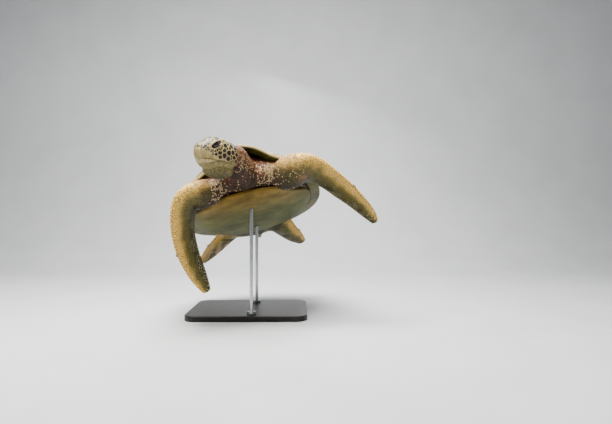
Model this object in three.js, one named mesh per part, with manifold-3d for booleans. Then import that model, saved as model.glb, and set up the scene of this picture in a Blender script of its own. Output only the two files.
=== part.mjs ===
// A green sea turtle, a young adult swimming with its head turned, held by a plain display stand.
//
// Millimetres, +Z up. The body is shaped in a frame of its own, with +X to its left, -Y forward
// and +Z up through its back, and is then pitched and banked on the stand as one group. The head
// has a frame of its own too, with its origin between the eyes.

import * as THREE from "three";
import Module from "manifold-3d";
import { mergeVertices } from "three/addons/utils/BufferGeometryUtils.js";

const wasm = await Module();
wasm.setup();

// ---------------------------------------------------------------- driving dimensions

const GAP = 0.3; // clearance between neighbouring pieces
const SHELL_LENGTH = 800; // straight length of the carapace
const SHELL_HALF_WIDTH = 341;
const NUCHAL_RISE = 108; // the rim over the neck, above the body's middle plane
const SIDE_DROP = -46; // the rim at the sides
const REAR_DROP = -49; // the rim over the tail
const DOME_TOP = 165;
const DOME_CENTRE = [0, -60];
const DOME_FULLNESS = 2.1; // how flat the dome is across its top
const DOME_SHOULDER = 0.85; // how steeply it comes down to the rim
const PLASTRON_LEVEL = -103;
const PLATE_THICKNESS = 11;
const RIM_THICKNESS = 13;
const MARGINAL_WIDTH = 58; // from the rim in to the seam with the costals
const RIM_OVERHANG = 48; // from the rim in to the flesh, at the sides and rear
const NECK_OVERHANG = 22; // and over the neck

const PITCH = -16.4; // degrees, nose up
const BANK = -14; // degrees, right side down
const BODY_HEIGHT = 560; // the body's middle above the floor

const HEAD_PLACE = [-98, -550, 50]; // between the eyes, in the body's frame
const HEAD_TURN = -42; // degrees, to the turtle's right
const HEAD_NOD = 2;
const HEAD_TILT = 23;
const HEAD_BACK = 100; // where the head ends and the neck begins, behind the eyes
const EYE_RADIUS = 17;
const EYE_PLACE = [38, 7, 10];

const BASE_WIDTH = 560;
const BASE_DEPTH = 460;
const BASE_THICKNESS = 25;
const BASE_CORNER = 60;
const ROD_RADIUS = 8;
const ROD_SPOTS = [-150, 170]; // along the body's middle line
const COLLAR_RADIUS = 20;
const COLLAR_HEIGHT = 14;

const AROUND_SHELL = 28; // facets round the shell
const REACH = 900; // larger than the body, for cutting solids

// ---------------------------------------------------------------- curves and solids

/** The smooth curve through rows of numbers, spaced by their first three, open or closed. */
function smoothRows(rows, closed = false) {
  const count = rows.length;
  const last = closed ? count : count - 1;
  const row = (i) => rows[closed ? (i + count) % count : Math.min(Math.max(i, 0), count - 1)];
  const apart = (a, b) => Math.hypot(a[0] - b[0], a[1] - b[1], a[2] - b[2]);
  const places = [0];
  for (let i = 1; i <= last; i++) {
    places.push(places[i - 1] + apart(row(i), row(i - 1)));
  }
  const slope = (i, k) => {
    const [before, at, after] = [row(i - 1), row(i), row(i + 1)];
    return (after[k] - before[k]) / (apart(after, at) + apart(at, before));
  };
  return (share) => {
    const place = share * places[last];
    let i = 0;
    while (i < last - 1 && places[i + 1] < place) {
      i++;
    }
    const span = places[i + 1] - places[i];
    const t = (place - places[i]) / span;
    const blend = t * t * (3 - 2 * t);
    const leave = t * (1 - t) * (1 - t) * span;
    const arrive = t * t * (t - 1) * span;
    return row(i).map(
      (v, k) => v + (row(i + 1)[k] - v) * blend + slope(i, k) * leave + slope(i + 1, k) * arrive,
    );
  };
}

/** Both halves of an outline given for the left side, front to rear, as one closed loop. */
function bothSides(half) {
  const right = half.slice(1, -1).map(([x, ...rest]) => [-x, ...rest]);
  return [...half, ...right.reverse()];
}

/** A geometry's places and faces alone, with the corners that lie together joined. */
function joined(geometry) {
  geometry.deleteAttribute("normal");
  geometry.deleteAttribute("uv");
  return mergeVertices(geometry, 1e-3);
}

function solidOf(geometry) {
  const merged = joined(geometry);
  const mesh = new wasm.Mesh({
    numProp: 3,
    vertProperties: new Float32Array(merged.attributes.position.array),
    triVerts: new Uint32Array(merged.index.array),
  });
  return new wasm.Manifold(mesh);
}

/** A closed solid skinned over rings of points, with each end drawn to a point or to its middle. */
function skinned(rings, startPoint = null, endPoint = null) {
  const around = rings[0].length;
  const middle = (ring) => ring[0].map((_, k) => ring.reduce((sum, p) => sum + p[k], 0) / around);
  const points = [...rings.flat(), startPoint ?? middle(rings[0]), endPoint ?? middle(rings.at(-1))];
  const startIndex = rings.length * around;
  const faces = [];
  for (let j = 0; j < around; j++) {
    const next = (j + 1) % around;
    for (let i = 0; i < rings.length - 1; i++) {
      const a = i * around;
      const b = a + around;
      faces.push(a + j, a + next, b + next, a + j, b + next, b + j);
    }
    const end = (rings.length - 1) * around;
    faces.push(startIndex, next, j, startIndex + 1, end + j, end + next);
  }
  const geometry = new THREE.BufferGeometry();
  geometry.setAttribute("position", new THREE.BufferAttribute(new Float32Array(points.flat()), 3));
  geometry.setIndex(faces);
  return facingOut(geometry);
}

/** The same solid with its faces turned outward, whichever way its rings ran. */
function facingOut(geometry) {
  const p = geometry.attributes.position;
  const corner = (i) => new THREE.Vector3().fromBufferAttribute(p, geometry.index.getX(i));
  let volume = 0;
  for (let i = 0; i < geometry.index.count; i += 3) {
    volume += corner(i).dot(corner(i + 1).cross(corner(i + 2)));
  }
  if (volume < 0) {
    geometry.index.array.reverse();
  }
  return solidOf(geometry);
}

/** A wall-sided solid over an outline in X and Y, from one height to another. */
function prism(outline, bottom = -REACH, top = REACH) {
  const shape = new THREE.Shape(outline.map(([x, y]) => new THREE.Vector2(x, y)));
  const geometry = new THREE.ExtrudeGeometry(shape, { depth: top - bottom, bevelEnabled: false });
  return solidOf(geometry.translate(0, 0, bottom));
}

/** A solid right across the head over an outline in Y and Z. */
function sidePrism(outline) {
  const shape = new THREE.Shape(outline.map(([y, z]) => new THREE.Vector2(y, z)));
  const geometry = new THREE.ExtrudeGeometry(shape, { depth: 2 * REACH, bevelEnabled: false });
  geometry.translate(0, 0, -REACH);
  const turn = new THREE.Matrix4().set(0, 0, 1, 0, 1, 0, 0, 0, 0, 1, 0, 0, 0, 0, 0, 1);
  return solidOf(geometry.applyMatrix4(turn));
}

/** An outline moved outward by a distance, or inward by a negative one. */
function grown(outline, distance) {
  const turns = outline.map(([x, y], i) => {
    const [u, v] = outline[(i + 1) % outline.length];
    return x * v - u * y;
  });
  const way = Math.sign(turns.reduce((sum, v) => sum + v, 0));
  const normal = ([x, y], [u, v]) => {
    const length = Math.hypot(u - x, v - y);
    return [(way * (v - y)) / length, (-way * (u - x)) / length];
  };
  return outline.map((point, i) => {
    const before = outline.at(i - 1);
    const after = outline[(i + 1) % outline.length];
    const [a, b] = [normal(before, point), normal(point, after)];
    const lean = distance / (1 + a[0] * b[0] + a[1] * b[1]);
    return [point[0] + (a[0] + b[0]) * lean, point[1] + (a[1] + b[1]) * lean];
  });
}

/** The part of a solid inside an outline, and the rest of it clear of that part. */
function splitOff(solid, outline, wall) {
  return [solid.intersect(wall(outline)), solid.subtract(wall(grown(outline, GAP)))];
}

// ---------------------------------------------------------------- the shell's surfaces

const W = SHELL_HALF_WIDTH;
const HALF = SHELL_LENGTH / 2;

// The rim from the nuchal notch round the left side to the tail notch.
const rimLoop = smoothRows(
  bothSides([
    [0, -HALF, NUCHAL_RISE],
    [70, -394, 90],
    [140, -370, 44],
    [225, -318, 12],
    [0.85 * W, -232, -18],
    [0.965 * W, -120, -38],
    [W, 0, SIDE_DROP],
    [0.965 * W, 115, SIDE_DROP - 3],
    [0.845 * W, 225, REAR_DROP],
    [0.62 * W, 318, REAR_DROP],
    [0.33 * W, 378, REAR_DROP],
    [35, HALF + 2, REAR_DROP],
    [0, HALF, REAR_DROP],
  ]),
  true,
);

// The plastron and its bridges, from the throat round the left side to the vent.
const plastronLoop = smoothRows(
  bothSides([
    [0, -338, PLASTRON_LEVEL + 14],
    [75, -335, PLASTRON_LEVEL + 12],
    [135, -312, PLASTRON_LEVEL + 9],
    [180, -262, PLASTRON_LEVEL + 7],
    [218, -215, PLASTRON_LEVEL + 16],
    [W - 66, -130, SIDE_DROP - 24],
    [W - RIM_OVERHANG, 0, SIDE_DROP - 18],
    [W - 64, 110, SIDE_DROP - 24],
    [215, 195, PLASTRON_LEVEL + 18],
    [150, 250, PLASTRON_LEVEL + 12],
    [88, 298, PLASTRON_LEVEL + 10],
    [0, 322, PLASTRON_LEVEL + 12],
  ]),
  true,
);

/** A loop as its distance from the dome's centre and its height, by bearing from that centre. */
function byBearing(loop) {
  const samples = 600;
  const table = Array.from({ length: samples }, (_, i) => {
    const [x, y, z] = loop(i / samples);
    const [dx, dy] = [x - DOME_CENTRE[0], y - DOME_CENTRE[1]];
    return [(Math.atan2(dx, -dy) + 2 * Math.PI) % (2 * Math.PI), Math.hypot(dx, dy), z];
  }).sort((a, b) => a[0] - b[0]);
  return (bearing) => {
    const found = table.findIndex((row) => row[0] >= bearing);
    const at = found < 0 ? samples : found;
    const turned = (row, turns) => [row[0] + turns * 2 * Math.PI, row[1], row[2]];
    const after = at === samples ? turned(table[0], 1) : table[at];
    const before = at === 0 ? turned(table.at(-1), -1) : table[at - 1];
    const t = (bearing - before[0]) / (after[0] - before[0]);
    const [, distance, height] = before.map((v, k) => v + (after[k] - v) * t);
    return { distance, height };
  };
}

const rimAt = byBearing(rimLoop);
const plastronAt = byBearing(plastronLoop);
const bearings = Array.from(
  { length: AROUND_SHELL },
  (_, j) => ((j + 0.5) * 2 * Math.PI) / AROUND_SHELL,
);

/** The height of the dome over a place a share of the way from its centre to the rim. */
function domeHeight(rim, share) {
  const fall = Math.max(1 - share ** DOME_FULLNESS, 0) ** DOME_SHOULDER;
  return rim.height + (DOME_TOP - rim.height) * fall;
}

/** The plastron is flat in the middle and turns up to its edge. */
function plastronHeight(edge, share) {
  return PLASTRON_LEVEL + (edge.height - PLASTRON_LEVEL) * share ** 5;
}

/** How far the rim stands out beyond the flesh, which comes nearest to it over the neck. */
function overhang(bearing) {
  const ahead = Math.max(Math.cos(bearing), 0) ** 1.5;
  return RIM_OVERHANG + (NECK_OVERHANG - RIM_OVERHANG) * ahead;
}

/** A ring of points round the shell, from the distance and height that a profile gives. */
function ringOf(profilePoint) {
  return bearings.map((bearing) => {
    const [distance, height] = profilePoint(rimAt(bearing), edgeAt(bearing), overhang(bearing));
    return [
      DOME_CENTRE[0] + Math.sin(bearing) * distance,
      DOME_CENTRE[1] - Math.cos(bearing) * distance,
      height,
    ];
  });
}

/** The plastron's edge, kept just inside the marginals. */
function edgeAt(bearing) {
  const { distance, height } = plastronAt(bearing);
  return { distance: Math.min(distance, rimAt(bearing).distance - RIM_OVERHANG - GAP), height };
}

const DOME_SHARES = [0.36, 0.6, 0.78, 0.91];
const PLASTRON_SHARES = [1, 0.82];
const centrePoint = (height) => [...DOME_CENTRE, height];

/** The whole outside of the shell and the skin that closes it in front and behind. */
function shellOutside(grow = 0) {
  const under = (rim, inward) => rim.height - RIM_THICKNESS - inward * 0.06 - grow;
  const rings = [
    ...DOME_SHARES.map((share) =>
      ringOf((rim) => [(rim.distance + grow) * share, domeHeight(rim, share) + grow]),
    ),
    ringOf((rim) => [rim.distance + grow, rim.height + grow]),
    ringOf((rim) => [rim.distance + grow - 3, under(rim, 0)]),
    ringOf((rim, edge, inward) => [rim.distance - inward, under(rim, inward)]),
    ...PLASTRON_SHARES.map((share) =>
      ringOf((rim, edge) => [edge.distance * share + grow, plastronHeight(edge, share) - grow]),
    ),
  ];
  return skinned(rings, centrePoint(DOME_TOP + grow), centrePoint(PLASTRON_LEVEL - grow));
}

/** Everything under the carapace's plates and inside the marginals, straight down. */
function belowPlates(clearance) {
  const depth = PLATE_THICKNESS + clearance;
  const lowered = (share) => (rim, edge, inward) => {
    const distance = (rim.distance - inward - clearance) * share;
    return [distance, domeHeight(rim, distance / rim.distance) - depth];
  };
  const rings = [0.45, 0.75, 1].map((share) => ringOf(lowered(share)));
  rings.push(ringOf((rim, edge, inward) => [rim.distance - inward - clearance, -REACH]));
  return skinned(rings, centrePoint(DOME_TOP - depth));
}

/** Everything above the plastron's plates, straight up. */
function abovePlastron(clearance) {
  const depth = PLATE_THICKNESS + clearance;
  const beyond = 40;
  const rings = [0.82, 1].map((share) =>
    ringOf((rim, edge) => [edge.distance * share, plastronHeight(edge, share) + depth]),
  );
  rings.push(ringOf((rim, edge) => [edge.distance + beyond, edge.height + depth]));
  rings.push(ringOf((rim, edge) => [edge.distance + beyond, REACH]));
  return skinned(rings, centrePoint(PLASTRON_LEVEL + depth));
}

const flat = (ring) => ring.map(([x, y]) => [x, y]);
const marginalSeam = flat(ringOf((rim) => [rim.distance - MARGINAL_WIDTH, 0]));
const plastronOutline = flat(ringOf((rim, edge) => [edge.distance, 0]));

const outside = shellOutside();

/** The room that the plates take up, with the clearance round them. */
function plateRoom() {
  const clear = shellOutside(GAP);
  const upper = clear.subtract(belowPlates(GAP));
  const lower = clear.intersect(prism(grown(plastronOutline, GAP))).subtract(abovePlastron(GAP));
  return upper.add(lower);
}

const room = plateRoom();

// ---------------------------------------------------------------- plates

const pieces = new Map();

/** Keeps the largest body of a cut solid under a name. */
function keep(name, solid) {
  const bodies = solid.decompose().sort((a, b) => b.volume() - a.volume());
  pieces.set(name, bodies[0]);
}

const SIDES = [["left", 1], ["right", -1]];
const SEAM = GAP / 2;
const NUCHAL_OUTLINE = [[62, -300], [50, -REACH], [-50, -REACH], [-62, -300]];
const TAIL_OUTLINE = [[44, 300], [40, REACH], [-40, REACH], [-44, 300]];
const VERTEBRAL_ENDS = [-HALF, -238, -98, 52, 196, 318]; // along the back, seam by seam
const VERTEBRAL_NARROW = [60, 56, 58, 54, 44, 34]; // half widths at those seams
const VERTEBRAL_CORNERS = [-296, -168, -20, 128, 262]; // where the costal seams meet them
const VERTEBRAL_WIDE = [98, 102, 100, 90, 84];
const LAST_VERTEBRAL_END = 150; // half the width of the last one, beyond the marginals' line
const COSTAL_ENDS = [-190, 0, 178]; // the costal seams out at the marginals

/** The outline of one plate along the back: six sides, its corners on the costal seams. */
function vertebralOutline(i) {
  const front = i === 0 ? -REACH : VERTEBRAL_ENDS[i];
  const rear = i === 4 ? REACH : VERTEBRAL_ENDS[i + 1];
  const rearHalf = i === 4 ? LAST_VERTEBRAL_END : VERTEBRAL_NARROW[i + 1];
  const half = [
    [VERTEBRAL_NARROW[i], front],
    [VERTEBRAL_WIDE[i], VERTEBRAL_CORNERS[i]],
    [rearHalf, rear],
  ];
  return [...half, ...half.map(([x, y]) => [-x, y]).reverse()];
}

/** The outline of one broad side plate, which runs out past the marginal seam. */
function costalOutline(i, side) {
  const inner = [];
  for (const k of [i, i + 1]) {
    inner.push([VERTEBRAL_WIDE[k], VERTEBRAL_CORNERS[k]]);
    inner.push([VERTEBRAL_NARROW[k + 1], VERTEBRAL_ENDS[k + 1]]);
  }
  const runOn = 0.35; // the seams keep their slant beyond the marginals' line
  const outer = (k) => {
    const slant = COSTAL_ENDS[k] - VERTEBRAL_CORNERS[k + 1];
    return [HALF, COSTAL_ENDS[k] + slant * runOn];
  };
  const front = i === 0 ? [[HALF, -REACH], [VERTEBRAL_NARROW[0] + 6, -REACH]] : [outer(i - 1)];
  const rear = i === 3 ? [[LAST_VERTEBRAL_END, REACH], [HALF, REACH]] : [outer(i)];
  const points = [...front, ...inner.slice(0, 3), ...rear];
  return points.map(([x, y]) => [x * side, y]);
}

function addCarapace() {
  const upper = outside.subtract(belowPlates(0));
  const ring = upper.subtract(prism(marginalSeam));
  const [nuchal, afterNuchal] = splitOff(ring, NUCHAL_OUTLINE, prism);
  const [supracaudal, sides] = splitOff(afterNuchal, TAIL_OUTLINE, prism);
  keep("nuchal_scute", nuchal);
  keep("supracaudal_scutes", supracaudal);
  for (const [name, side] of SIDES) {
    const edge = side * REACH;
    const half = prism([[0, -REACH], [edge, -REACH], [edge, REACH], [0, REACH]]);
    keep(`marginals_${name}`, sides.intersect(half));
  }
  const top = upper.intersect(prism(grown(marginalSeam, -GAP)));
  for (let i = 0; i < 5; i++) {
    keep(`vertebral_${i + 1}`, top.intersect(prism(grown(vertebralOutline(i), -SEAM))));
  }
  for (const [name, side] of SIDES) {
    for (let i = 0; i < 4; i++) {
      const outline = grown(costalOutline(i, side), -SEAM);
      keep(`costal_${name}_${i + 1}`, top.intersect(prism(outline)));
    }
  }
}

const PLASTRON_NAMES = ["gular", "humeral", "pectoral", "abdominal", "femoral", "anal"];
const PLASTRON_SEAMS = [-REACH, -285, -195, -88, 35, 170, REACH]; // along the middle line
const PLASTRON_SLANT = [0, 62, 24, 0, 6, 40, 0]; // how far each seam runs back at its outer end
const BRIDGE_INNER = 176; // from the middle line out to the bridges

function addPlastron() {
  const bottom = outside.intersect(prism(plastronOutline)).subtract(abovePlastron(0));
  for (const [name, side] of SIDES) {
    const plate = (title, corners) => {
      const outline = corners.map(([x, y]) => [x * side, y]);
      keep(`${title}_${name}`, bottom.intersect(prism(grown(outline, -SEAM))));
    };
    PLASTRON_NAMES.forEach((title, i) => {
      const inner = [i, i + 1].map((k) => [0, PLASTRON_SEAMS[k]]);
      const outer = [i + 1, i].map((k) => [BRIDGE_INNER, PLASTRON_SEAMS[k] + PLASTRON_SLANT[k]]);
      plate(title, [...inner, ...outer]);
    });
    const [inner, outer] = [BRIDGE_INNER, REACH];
    plate("bridge", [[inner, -REACH], [outer, -REACH], [outer, REACH], [inner, REACH]]);
  }
}

// ---------------------------------------------------------------- limbs

// Each row of a limb is a place on its middle line, the way its leading edge lies from there,
// then its breadth, its thickness and how much thinner its trailing edge is.
const FRONT_LEFT = [
  [120, -262, -30, 0, -0.35, 0.94, 140, 120, 0],
  [190, -318, -36, 0, -0.52, 0.85, 148, 112, 0],
  [250, -330, -36, 0, -0.72, 0.69, 148, 82, 0.1],
  [306, -312, -50, 0.18, -0.83, 0.53, 136, 58, 0.25],
  [358, -281, -89, 0.42, -0.86, 0.29, 129, 44, 0.35],
  [416, -248, -149, 0.48, -0.85, 0.23, 121, 34, 0.4],
  [468, -221, -213, 0.56, -0.82, 0.1, 101, 25, 0.4],
  [508, -200, -273, 0.64, -0.76, 0.08, 70, 17, 0.3],
  [522, -191, -303, 0.7, -0.7, 0.08, 42, 11, 0.2],
];
const FRONT_RIGHT = [
  [-105, -268, -34, 0, -0.4, 0.92, 122, 110, 0],
  [-160, -334, -48, 0, -0.6, 0.8, 120, 96, 0],
  [-202, -368, -62, -0.17, -0.74, 0.65, 130, 78, 0.1],
  [-244, -374, -78, -0.32, -0.83, 0.46, 134, 58, 0.25],
  [-273, -357, -118, -0.46, -0.83, 0.32, 128, 46, 0.35],
  [-294, -322, -195, -0.58, -0.78, 0.22, 120, 36, 0.4],
  [-295, -282, -280, -0.72, -0.69, 0.06, 107, 28, 0.4],
  [-280, -246, -364, -0.84, -0.53, -0.08, 82, 19, 0.4],
  [-262, -224, -430, -0.95, -0.25, -0.16, 42, 11, 0.2],
];
const REAR_LEFT = [
  [85, 205, -56, 0.8, -0.45, 0.35, 116, 84, 0],
  [125, 292, -84, 0.86, -0.38, 0.3, 124, 60, 0.1],
  [158, 352, -118, 0.86, -0.46, 0.12, 114, 36, 0.2],
  [194, 408, -148, 0.84, -0.5, 0.16, 92, 22, 0.2],
  [224, 450, -170, 0.8, -0.52, 0.25, 50, 12, 0.1],
];
const REAR_RIGHT = [
  [-85, 205, -52, -0.75, -0.5, 0.4, 116, 84, 0],
  [-140, 272, -68, -0.72, -0.6, 0.3, 108, 46, 0.1],
  [-205, 312, -98, -0.55, -0.78, 0.28, 106, 36, 0.2],
  [-272, 352, -130, -0.42, -0.85, 0.33, 94, 22, 0.2],
  [-332, 380, -162, -0.3, -0.8, 0.5, 50, 12, 0.1],
];
const FRONT_SHOULDER = 0.24; // share of the way out where the trunk gives way to the arm
const FRONT_WRIST = 0.6;
const REAR_HIP = 0.4;
const CLAW_SHARE = 0.68;
const CLAW_LENGTH = 15;
const CLAW_RADIUS = 5;
const CLAW_RAKE = 0.9; // how far a claw leans toward the limb's tip

const vector = (row, from = 0) => new THREE.Vector3(row[from], row[from + 1], row[from + 2]);

/** The place, directions and sizes of a limb at a share of its length. */
function limbAt(limb, share) {
  const curve = smoothRows(limb);
  const row = curve(share);
  const step = 0.01;
  const ahead = vector(curve(Math.min(share + step, 1)));
  const tangent = ahead.sub(vector(curve(Math.max(share - step, 0)))).normalize();
  const lead = vector(row, 3);
  lead.addScaledVector(tangent, -lead.dot(tangent)).normalize();
  const up = new THREE.Vector3().crossVectors(tangent, lead);
  return { centre: vector(row), tangent, lead, up, breadth: row[6], thickness: row[7], thinning: row[8] };
}

/** One ring of a limb: an oval, drawn out thin toward the trailing edge. */
function limbRing(limb, share, around, grow) {
  const at = limbAt(limb, share);
  return Array.from({ length: around }, (_, i) => {
    const angle = (2 * Math.PI * i) / around;
    const along = (at.breadth / 2 + grow) * Math.cos(angle);
    const fullness = 1 + at.thinning * (Math.cos(angle) - 0.35);
    const across = ((at.thickness / 2) * fullness + grow) * Math.sin(angle);
    return at.centre.clone().addScaledVector(at.lead, along).addScaledVector(at.up, across).toArray();
  });
}

/** A stretch of a limb with flat ends, or with a rounded tip where it runs to the limb's end. */
function limbStretch(limb, from, to, { rings = 8, around = 12, grow = 0 } = {}) {
  const shares = Array.from({ length: rings }, (_, i) => from + ((to - from) * i) / (rings - 1));
  const skin = shares.map((share) => limbRing(limb, share, around, grow));
  if (to < 1) {
    return skinned(skin);
  }
  const tip = limbAt(limb, 1);
  const reach = tip.breadth * 0.28 + grow;
  const rounded = limbRing(limb, 1, around, grow).map((p) => {
    const offset = vector(p).sub(tip.centre).multiplyScalar(0.66);
    return tip.centre.clone().add(offset).addScaledVector(tip.tangent, reach * 0.7).toArray();
  });
  const end = tip.centre.clone().addScaledVector(tip.tangent, reach);
  return skinned([...skin, rounded], null, end.toArray());
}

/** The gap between two stretches of a limb, as a share of its length. */
function gapShare(limb) {
  let length = 0;
  for (let i = 1; i < limb.length; i++) {
    length += vector(limb[i]).distanceTo(vector(limb[i - 1]));
  }
  return (2 * GAP) / length;
}

/** One claw on a leading edge, curving with it, its root let into the skin's outline. */
function clawOn(limb, blade) {
  const at = limbAt(limb, CLAW_SHARE);
  const profile = [
    [0, -CLAW_RADIUS],
    [CLAW_RADIUS, -CLAW_RADIUS],
    [CLAW_RADIUS * 0.7, CLAW_LENGTH * 0.6],
    [0, CLAW_LENGTH],
  ];
  const sides = 7;
  const cone = new THREE.LatheGeometry(profile.map(([r, h]) => new THREE.Vector2(r, h)), sides);
  const way = at.lead.clone().addScaledVector(at.tangent, CLAW_RAKE).normalize();
  const upright = new THREE.Vector3(0, 1, 0);
  cone.applyQuaternion(new THREE.Quaternion().setFromUnitVectors(upright, way));
  const root = at.centre.clone().addScaledVector(at.lead, at.breadth / 2 - 1);
  return facingOut(joined(cone.translate(...root.toArray()))).subtract(blade);
}

function addLimbs() {
  for (const [name, limb] of [["left", FRONT_LEFT], ["right", FRONT_RIGHT]]) {
    const gap = gapShare(limb);
    const arm = limbStretch(limb, FRONT_SHOULDER + gap, FRONT_WRIST);
    const around = limbStretch(limb, FRONT_WRIST - 0.1, 1, { rings: 12, grow: GAP });
    keep(`front_${name}_arm`, arm.subtract(room));
    keep(`front_${name}_flipper`, limbStretch(limb, FRONT_WRIST + gap, 1));
    keep(`front_${name}_claw`, clawOn(limb, around));
  }
  for (const [name, limb] of [["left", REAR_LEFT], ["right", REAR_RIGHT]]) {
    const flipper = limbStretch(limb, REAR_HIP + gapShare(limb), 1, { rings: 9 });
    const around = limbStretch(limb, REAR_HIP, 1, { rings: 12, grow: GAP });
    keep(`rear_${name}_flipper`, flipper.subtract(room));
    keep(`rear_${name}_claw`, clawOn(limb, around));
  }
}

// ---------------------------------------------------------------- head

// Each row of the head is a place behind the eyes, then half its width, its top and its bottom.
const HEAD_ROWS = [
  [-58, 12, 9, -22],
  [-55, 18, 15, -40],
  [-48, 26, 23, -58],
  [-34, 36, 34, -73],
  [-12, 47, 42, -80],
  [15, 55, 46, -83],
  [50, 63, 44, -84],
  [80, 63, 39, -80],
  [HEAD_BACK, 60, 34, -74],
];
const AROUND_HEAD = 16;
const HEAD_SQUARENESS = 0.88; // 1 for an oval, less for a squarer one
const SNOUT_TIP = [0, -60, -4];
const MOUTH_LINE = [[-REACH, -39], [-30, -42], [10, -46], [34, -47]];
const JAW_BACK = [[46, -58], [70, -REACH], [-REACH, -REACH]];
const UPPER_BEAK = [
  ...MOUTH_LINE.slice(0, 2),
  [8, -46],
  [2, -37],
  [-26, -26],
  [-44, -9],
  [-REACH, -6],
];
const LOWER_BEAK = [
  ...MOUTH_LINE.slice(0, 2),
  [-8, -44],
  [-16, -55],
  [-36, -62],
  [-REACH, -64],
];

const headMatrix = new THREE.Matrix4().compose(
  new THREE.Vector3(...HEAD_PLACE),
  new THREE.Quaternion().setFromEuler(
    new THREE.Euler(...[HEAD_NOD, HEAD_TILT, HEAD_TURN].map(THREE.MathUtils.degToRad), "ZXY"),
  ),
  new THREE.Vector3(1, 1, 1),
);

/** One ring of the head: an oval with its sides and top a little flattened. */
function headRing([y, half, top, bottom], grow) {
  const middle = (top + bottom) / 2;
  const squared = (v) => Math.sign(v) * Math.abs(v) ** HEAD_SQUARENESS;
  return Array.from({ length: AROUND_HEAD }, (_, i) => {
    const angle = (2 * Math.PI * (i + 0.5)) / AROUND_HEAD;
    const height = ((top - bottom) / 2 + grow) * squared(Math.sin(angle));
    return [(half + grow) * squared(Math.cos(angle)), y, middle + height];
  });
}

function wholeHead(grow = 0) {
  const curve = smoothRows(HEAD_ROWS);
  const steps = 12;
  const rings = Array.from({ length: steps }, (_, i) => headRing(curve(i / (steps - 1)), grow));
  const [x, y, z] = SNOUT_TIP;
  return skinned(rings, [x, y - grow, z]);
}

function addHead() {
  const [jawBlock, skull] = splitOff(wholeHead(), [...MOUTH_LINE, ...JAW_BACK], sidePrism);
  const [upperBeak, skullBare] = splitOff(skull, UPPER_BEAK, sidePrism);
  const [lowerBeak, jawBare] = splitOff(jawBlock, LOWER_BEAK, sidePrism);
  let head = skullBare;
  for (const [name, side] of [["left", 1], ["right", -1]]) {
    const place = [EYE_PLACE[0] * side, EYE_PLACE[1], EYE_PLACE[2]];
    const ball = (radius) => solidOf(new THREE.SphereGeometry(radius, 10, 7).translate(...place));
    keep(`eye_${name}`, ball(EYE_RADIUS));
    head = head.subtract(ball(EYE_RADIUS + GAP));
  }
  keep("head", head);
  keep("lower_jaw", jawBare);
  keep("beak_upper", upperBeak);
  keep("beak_lower", lowerBeak);
}

// ---------------------------------------------------------------- neck, tail and trunk

/** The neck's rows: forward between the shoulders, then round to the back of the head. */
function neckRows() {
  const behind = (y) => new THREE.Vector3(0, y, -20).applyMatrix4(headMatrix).toArray();
  const up = new THREE.Vector3(0, 0, 1).transformDirection(headMatrix).toArray();
  const [, half, top, bottom] = HEAD_ROWS.at(-1);
  return [
    [0, -255, -14, 0, 0, 1, 160, 172, 0],
    [-6, -330, -4, 0.05, -0.1, 1, 152, 158, 0],
    [-12, -392, 12, 0.15, -0.15, 1, 138, 136, 0],
    [...behind(HEAD_BACK + 30), ...up, 0.96 * (top - bottom), 1.94 * half, 0],
    [...behind(HEAD_BACK - 10), ...up, top - bottom - 1, 2 * half - 1, 0],
  ];
}

const TAIL = [
  [0, 265, -70, 0, 0, 1, 70, 100, 0],
  [0, 320, -84, 0, 0, 1, 50, 60, 0],
  [0, 368, -93, 0, 0, 1, 30, 34, 0],
  [0, 402, -98, 0, 0, 1, 14, 16, 0],
];
const NECK_BASE = 0.4;
const TAIL_BASE = 0.35;
const OVERRUN = 0.02; // how far a root runs on, before it is cut off clear of its limb

// Half sizes and places of the loose skin: under the jaw, in the head's own frame, round the
// neck's root, and between the hips.
const THROAT = { size: [50, 62, 44], place: [-6, 62, -74] };
const COLLAR = { size: [205, 62, 68], place: [0, -312, -12] };
const HIPS = { size: [165, 80, 46], place: [0, 282, -68] };

function looseSkin({ size, place }) {
  return solidOf(new THREE.SphereGeometry(1, 14, 7).scale(...size).translate(...place));
}

function addTrunk() {
  const neck = neckRows();
  const shoulders = [FRONT_LEFT, FRONT_RIGHT];
  const hips = [REAR_LEFT, REAR_RIGHT];
  let flesh = outside.add(looseSkin(COLLAR)).add(looseSkin(HIPS));
  flesh = flesh.add(limbStretch(neck, 0, NECK_BASE + OVERRUN, { rings: 5, around: 14 }));
  for (const limb of shoulders) {
    flesh = flesh.add(limbStretch(limb, 0, FRONT_SHOULDER + OVERRUN, { rings: 5 }));
  }
  for (const limb of hips) {
    flesh = flesh.add(limbStretch(limb, 0, REAR_HIP + OVERRUN, { rings: 4 }));
  }
  flesh = flesh.add(limbStretch(TAIL, 0, TAIL_BASE + OVERRUN, { rings: 3, around: 10 }));
  let trunk = flesh.subtract(room);
  for (const limb of shoulders) {
    trunk = trunk.subtract(limbStretch(limb, FRONT_SHOULDER, FRONT_WRIST, { grow: GAP }));
  }
  for (const limb of hips) {
    trunk = trunk.subtract(limbStretch(limb, REAR_HIP, 1, { rings: 9, grow: GAP }));
  }
  trunk = trunk.subtract(limbStretch(neck, NECK_BASE, 1, { rings: 8, around: 14, grow: GAP }));
  trunk = trunk.subtract(limbStretch(TAIL, TAIL_BASE, 1, { rings: 4, around: 10, grow: GAP }));
  keep("trunk", trunk);
  addNeck(neck);
  const tail = limbStretch(TAIL, TAIL_BASE + gapShare(TAIL), 1, { rings: 4, around: 10 });
  keep("tail", tail.subtract(room));
}

/** Everything from the back of the head forward, a little way round it. */
function headRoom() {
  const size = 260;
  const block = new THREE.BoxGeometry(size, size, size);
  return solidOf(block.translate(0, HEAD_BACK + GAP - size / 2, -20).applyMatrix4(headMatrix));
}

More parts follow.
